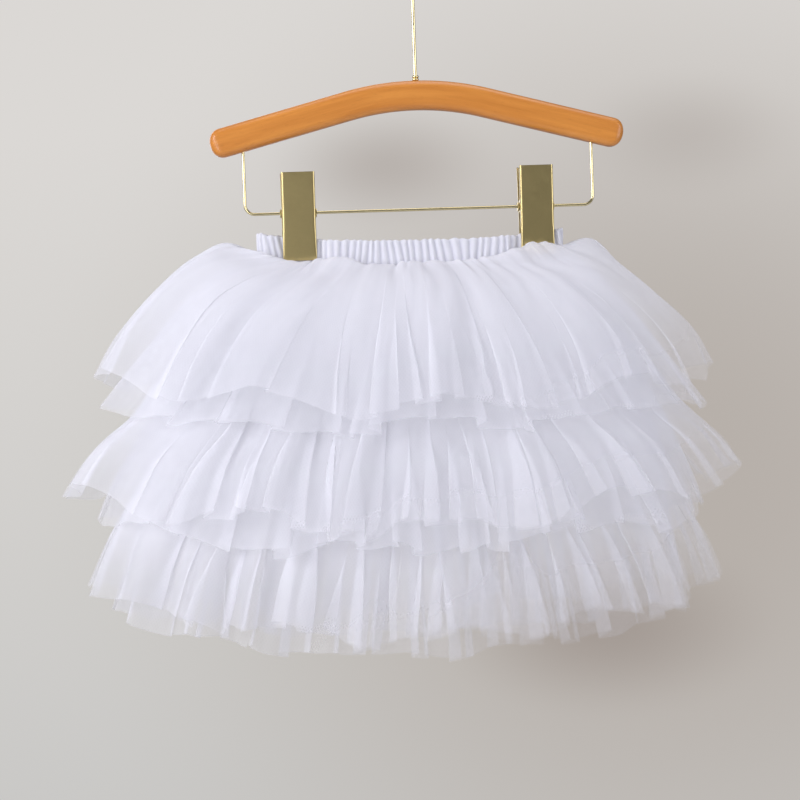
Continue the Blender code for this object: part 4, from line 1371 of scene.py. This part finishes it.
def darken_near(tree, distance, starts, full, share, wall, dark):
    """Mixes a darker colour into the wall's where a distance is small, softly."""
    depth = add_node(tree, "ShaderNodeMapRange", {
        "Value": distance, "From Min": starts, "From Max": full, "To Min": 0.0, "To Max": share},
        interpolation_type="SMOOTHSTEP")
    return colour_between(tree, depth.outputs["Result"], wall, dark)


def add_wall_shadow(tree, direction, wall, shadow, middle, across, up, share):
    """Darkens the wall round one direction, softly."""
    away = add_node(tree, "ShaderNodeVectorMath", {0: direction, 1: Vector(middle)},
                    operation="SUBTRACT")
    spread = add_node(tree, "ShaderNodeVectorMath", {
        0: away.outputs["Vector"], 1: Vector((1.0 / across, 1.0 / across, 1.0 / up))},
        operation="MULTIPLY")
    length = add_node(tree, "ShaderNodeVectorMath", {0: spread.outputs["Vector"]}, operation="LENGTH")
    return darken_near(tree, length.outputs["Value"], 1.0, 0.0, share, wall, shadow)


def make_world(settings):
    """Pale warm-grey surroundings, dimmer in what they light than in what is seen.

    What is seen darkens softly low down and to the right, as a plaster wall does beside a window,
    and has the soft shadows of the bar and the skirt.
    """
    world = bpy.data.worlds.new("studio")
    world.use_nodes = True
    tree = world.node_tree
    tree.nodes.clear()
    direction = add_node(tree, "ShaderNodeTexCoord").outputs["Generated"]
    parts = add_node(tree, "ShaderNodeSeparateXYZ", {"Vector": direction})
    shade_middle, shade_starts, shade_full = WALL_SHADE
    from_shade = add_node(tree, "ShaderNodeVectorMath", {0: direction, 1: Vector(shade_middle)},
                          operation="DISTANCE")
    low = value_between(tree, parts.outputs["Z"], WALL_LOW_STARTS, WALL_LOW_FULL, 0.0, 1.0)
    upper = colour_between(tree, low, settings.wall_colour, settings.wall_low_shade)
    colour = darken_near(tree, from_shade.outputs["Value"], shade_starts, shade_full, 1.0, upper,
                         settings.wall_shade)
    for place_and_reach in WALL_SHADOWS:
        colour = add_wall_shadow(tree, direction, colour, settings.wall_shadow, *place_and_reach)
    seen = add_node(tree, "ShaderNodeBackground", {"Color": colour, "Strength": 1.0})
    lit = add_node(tree, "ShaderNodeBackground", {
        "Color": settings.room_colour, "Strength": settings.room_light})
    which = add_node(tree, "ShaderNodeLightPath")
    mix = add_node(tree, "ShaderNodeMixShader", {
        0: which.outputs["Is Camera Ray"], 1: lit.outputs["Background"], 2: seen.outputs["Background"]})
    output = add_node(tree, "ShaderNodeOutputWorld")
    tree.links.new(mix.outputs["Shader"], output.inputs["Surface"])
    bpy.context.scene.world = world


def make_floor(settings):
    """A wide pale floor well below the hanging piece."""
    work = bmesh.new()
    bmesh.ops.create_circle(work, cap_ends=True, segments=96, radius=FLOOR_RADIUS)
    mesh = bpy.data.meshes.new("floor")
    work.to_mesh(mesh)
    work.free()
    floor = bpy.data.objects.new("floor", mesh)
    floor.location = (0.0, 0.0, settings.floor_z)
    mesh.materials.append(paper_material("pale studio paper", settings.floor_colour))
    bpy.context.scene.collection.objects.link(floor)


# What a user may change

def colour_setting(name, description, hex_colour):
    """A colour that a user may change."""
    return bpy.props.FloatVectorProperty(
        name=name, description=description, size=4, subtype="COLOR", min=0.0, max=1.0,
        default=linear(hex_colour))


def size_setting(name, description, size, least, most):
    """A length that a user may change, in metres."""
    return bpy.props.FloatProperty(
        name=name, description=description, default=size, min=least, max=most, subtype="DISTANCE",
        unit="LENGTH", precision=4)


class TutuClothSettings(bpy.types.PropertyGroup):
    """What can be changed on the tulle and the waistband."""
    tulle_white: colour_setting("Tulle", "Colour of the net where it catches the light", "FAFAFC")
    tulle_shade: colour_setting(
        "Tulle between streaks", "Colour of the net where it lies thinner", "F6F6F9")
    jersey_white: colour_setting("Jersey", "Colour of the waistband's ribs", "DEDEE2")
    # Painted shade: the darker colour drawn in the hollows between the ribs.
    jersey_painted_shade: colour_setting("Jersey hollows", "Colour between the ribs", "CFCFD7")
    cover: bpy.props.FloatProperty(
        name="Cover", description="Share of the view that one flat net stops", default=0.25,
        min=0.05, max=1.0, subtype="FACTOR")
    net_cell: size_setting(
        "Net cell", "Distance between the drawn net's threads", 2.0 * MM, 0.5 * MM, 5.0 * MM)
    rib_height: size_setting(
        "Rib height", "How far the waistband's ribs stand out", RIB_HEIGHT, 0.0, 1.5 * MM)


class TutuHangerSettings(bpy.types.PropertyGroup):
    """What can be changed on the bar, the wires and the clips."""
    beech_light: colour_setting("Beech", "Lighter wood between the growth lines", "D58B37")
    beech_dark: colour_setting("Beech lines", "Darker growth lines", "C27727")
    beech_fleck: colour_setting("Beech flecks", "Short dark flecks", "A65F24")
    brass_wire: colour_setting("Brass wire", "Colour of the plated wire", "E6D8A6")
    brass_sheet: colour_setting("Brass sheet", "Colour of the plated clips", "D3C085")
    steel: colour_setting("Spring steel", "Colour of the springs", "B4B3AF")
    hook_wire: size_setting("Hook wire", "Thickness of the hook's wire", HOOK_WIRE, 1.0 * MM, 4.0 * MM)
    rail_wire: size_setting(
        "Clip wire", "Thickness of the wire that carries the clips", RAIL_WIRE, 1.0 * MM, 4.0 * MM)
    clip_sheet: size_setting(
        "Clip sheet", "Thickness of the clips' plates", CLIP_SHEET, 0.3 * MM, 1.5 * MM)
    clip_edge: size_setting(
        "Clip edges", "How far the edges of the clips' plates are broken", BROKEN_EDGE, 0.0, 0.3 * MM)


class TutuStageSettings(bpy.types.PropertyGroup):
    """What can be changed on the surroundings, the light and the camera."""
    wall_colour: colour_setting("Surroundings", "Colour seen behind the piece", "DBD8D5")
    # Painted shade low down on the wall behind the piece.
    wall_low_shade: colour_setting(
        "Surroundings low down", "Colour seen lower behind the piece", "C8C7C5")
    wall_shade: colour_setting(
        "Surroundings in shade", "Colour seen at the right, away from the window", "B7B0AA")
    wall_shadow: colour_setting(
        "Shadows behind", "Colour of the soft shadows behind the piece", "A49B95")
    floor_colour: colour_setting("Floor", "Colour of the floor", "DDDAD6")
    room_colour: colour_setting(
        "Room light colour", "Colour of the light from all round", "CECFD6")
    room_light: bpy.props.FloatProperty(
        name="Room light", description="Strength of the light from all round", default=0.30,
        min=0.0, max=5.0)
    key_power: bpy.props.FloatProperty(
        name="Main light", description="Power of the soft light at the left", default=40.0, min=0.0,
        unit="POWER")
    floor_z: size_setting("Floor height", "Height of the floor, below the hook", -1.5, -5.0, -0.6)
    camera_azimuth: bpy.props.FloatProperty(
        name="Camera turn", description="How far round from straight in front",
        default=math.radians(-4.0), subtype="ANGLE", unit="ROTATION")
    camera_roll: bpy.props.FloatProperty(
        name="Camera roll", description="How far the picture is turned anticlockwise",
        default=math.radians(2.0), subtype="ANGLE", unit="ROTATION")
    camera_distance: size_setting(
        "Camera distance", "From the camera to the point it looks at", 2.0, 0.5, 10.0)
    view_width: size_setting(
        "View width", "Width of what the square picture shows there",
        PHOTO_PIXELS / PHOTO_PIXELS_A_METRE, 0.1, 5.0)


# Operators, one for each piece or group of like pieces

class TUTU_OT_stage(bpy.types.Operator):
    """Makes the camera, the light, the surroundings and the floor."""
    bl_idname = "tutu.stage"
    bl_label = "Stage"

    def execute(self, context):
        settings = context.scene.tutu_stage
        # The whites of the photograph come out as they are only without a film look.
        context.scene.view_settings.view_transform = "Standard"
        context.scene.cycles.transparent_max_bounces = NETS_SEEN_THROUGH
        context.scene.cycles.max_bounces = LIGHT_BOUNCES
        make_camera(settings)
        make_world(settings)
        make_floor(settings)
        for name, place, size, share in LIGHTS:
            soft_light(name, place, size, share * settings.key_power)
        return {"FINISHED"}


class TUTU_OT_tulle(bpy.types.Operator):
    """Makes the base skirt and the layers of the three tiers."""
    bl_idname = "tutu.tulle"
    bl_label = "Tulle layers"

    def execute(self, context):
        settings = context.scene.tutu_cloth
        material = tulle_material(settings)
        for name, layer in LAYERS.items():
            make_tulle_layer(name, layer, material, settings)
        return {"FINISHED"}


class TUTU_OT_waistband(bpy.types.Operator):
    """Makes the gathered waistband."""
    bl_idname = "tutu.waistband"
    bl_label = "Waistband"

    def execute(self, context):
        settings = context.scene.tutu_cloth
        make_waistband(jersey_material(settings), settings.rib_height)
        return {"FINISHED"}


class TUTU_OT_hanger_bar(bpy.types.Operator):
    """Makes the hanger's wooden bar."""
    bl_idname = "tutu.hanger_bar"
    bl_label = "Hanger bar"

    def execute(self, context):
        make_hanger_bar(beech_material(context.scene.tutu_hanger))
        return {"FINISHED"}


class TUTU_OT_wires(bpy.types.Operator):
    """Makes the hook, its collar and the wire that carries the clips."""
    bl_idname = "tutu.wires"
    bl_label = "Hook and wires"

    def execute(self, context):
        settings = context.scene.tutu_hanger
        brass = metal_material("brass-plated wire, bright drawn", settings.brass_wire, *DRAWN_WIRE)
        make_hook(brass, settings.hook_wire)
        make_ferrule(brass, settings.hook_wire)
        make_rail(brass, settings.rail_wire)
        return {"FINISHED"}


class TUTU_OT_clips(bpy.types.Operator):
    """Makes both clips: their plates and springs."""
    bl_idname = "tutu.clips"
    bl_label = "Clips"

    def execute(self, context):
        settings = context.scene.tutu_hanger
        sheet = metal_material(
            "brass-plated steel sheet, pressed", settings.brass_sheet, *PRESSED_SHEET)
        steel = metal_material("spring steel, wound", settings.steel, *WOUND_SPRING)
        make_clips(sheet, steel, settings)
        return {"FINISHED"}


OPERATORS = (TUTU_OT_stage, TUTU_OT_tulle, TUTU_OT_waistband, TUTU_OT_hanger_bar, TUTU_OT_wires,
             TUTU_OT_clips)


class TUTU_PT_pieces(bpy.types.Panel):
    """Lists the pieces and what can be changed on them."""
    bl_label = "Tutu on a hanger"
    bl_idname = "TUTU_PT_pieces"
    bl_space_type = "VIEW_3D"
    bl_region_type = "UI"
    bl_category = "Tutu"

    def draw(self, context):
        for operator in OPERATORS:
            self.layout.operator(operator.bl_idname)
        for settings in (context.scene.tutu_cloth, context.scene.tutu_hanger, context.scene.tutu_stage):
            box = self.layout.box()
            for name in settings.__annotations__:
                box.prop(settings, name)


CLASSES = (TutuClothSettings, TutuHangerSettings, TutuStageSettings) + OPERATORS + (TUTU_PT_pieces,)


def register():
    """Makes the classes and their settings known to Blender."""
    for each in CLASSES:
        bpy.utils.register_class(each)
    bpy.types.Scene.tutu_cloth = bpy.props.PointerProperty(type=TutuClothSettings)
    bpy.types.Scene.tutu_hanger = bpy.props.PointerProperty(type=TutuHangerSettings)
    bpy.types.Scene.tutu_stage = bpy.props.PointerProperty(type=TutuStageSettings)


def unregister():
    """Takes the settings and the classes away again."""
    del bpy.types.Scene.tutu_cloth
    del bpy.types.Scene.tutu_hanger
    del bpy.types.Scene.tutu_stage
    for each in reversed(CLASSES):
        bpy.utils.unregister_class(each)


def main():
    """Makes every piece in order."""
    register()
    bpy.ops.tutu.stage()
    bpy.ops.tutu.tulle()
    bpy.ops.tutu.waistband()
    bpy.ops.tutu.hanger_bar()
    bpy.ops.tutu.wires()
    bpy.ops.tutu.clips()


if __name__ == "__main__":
    main()
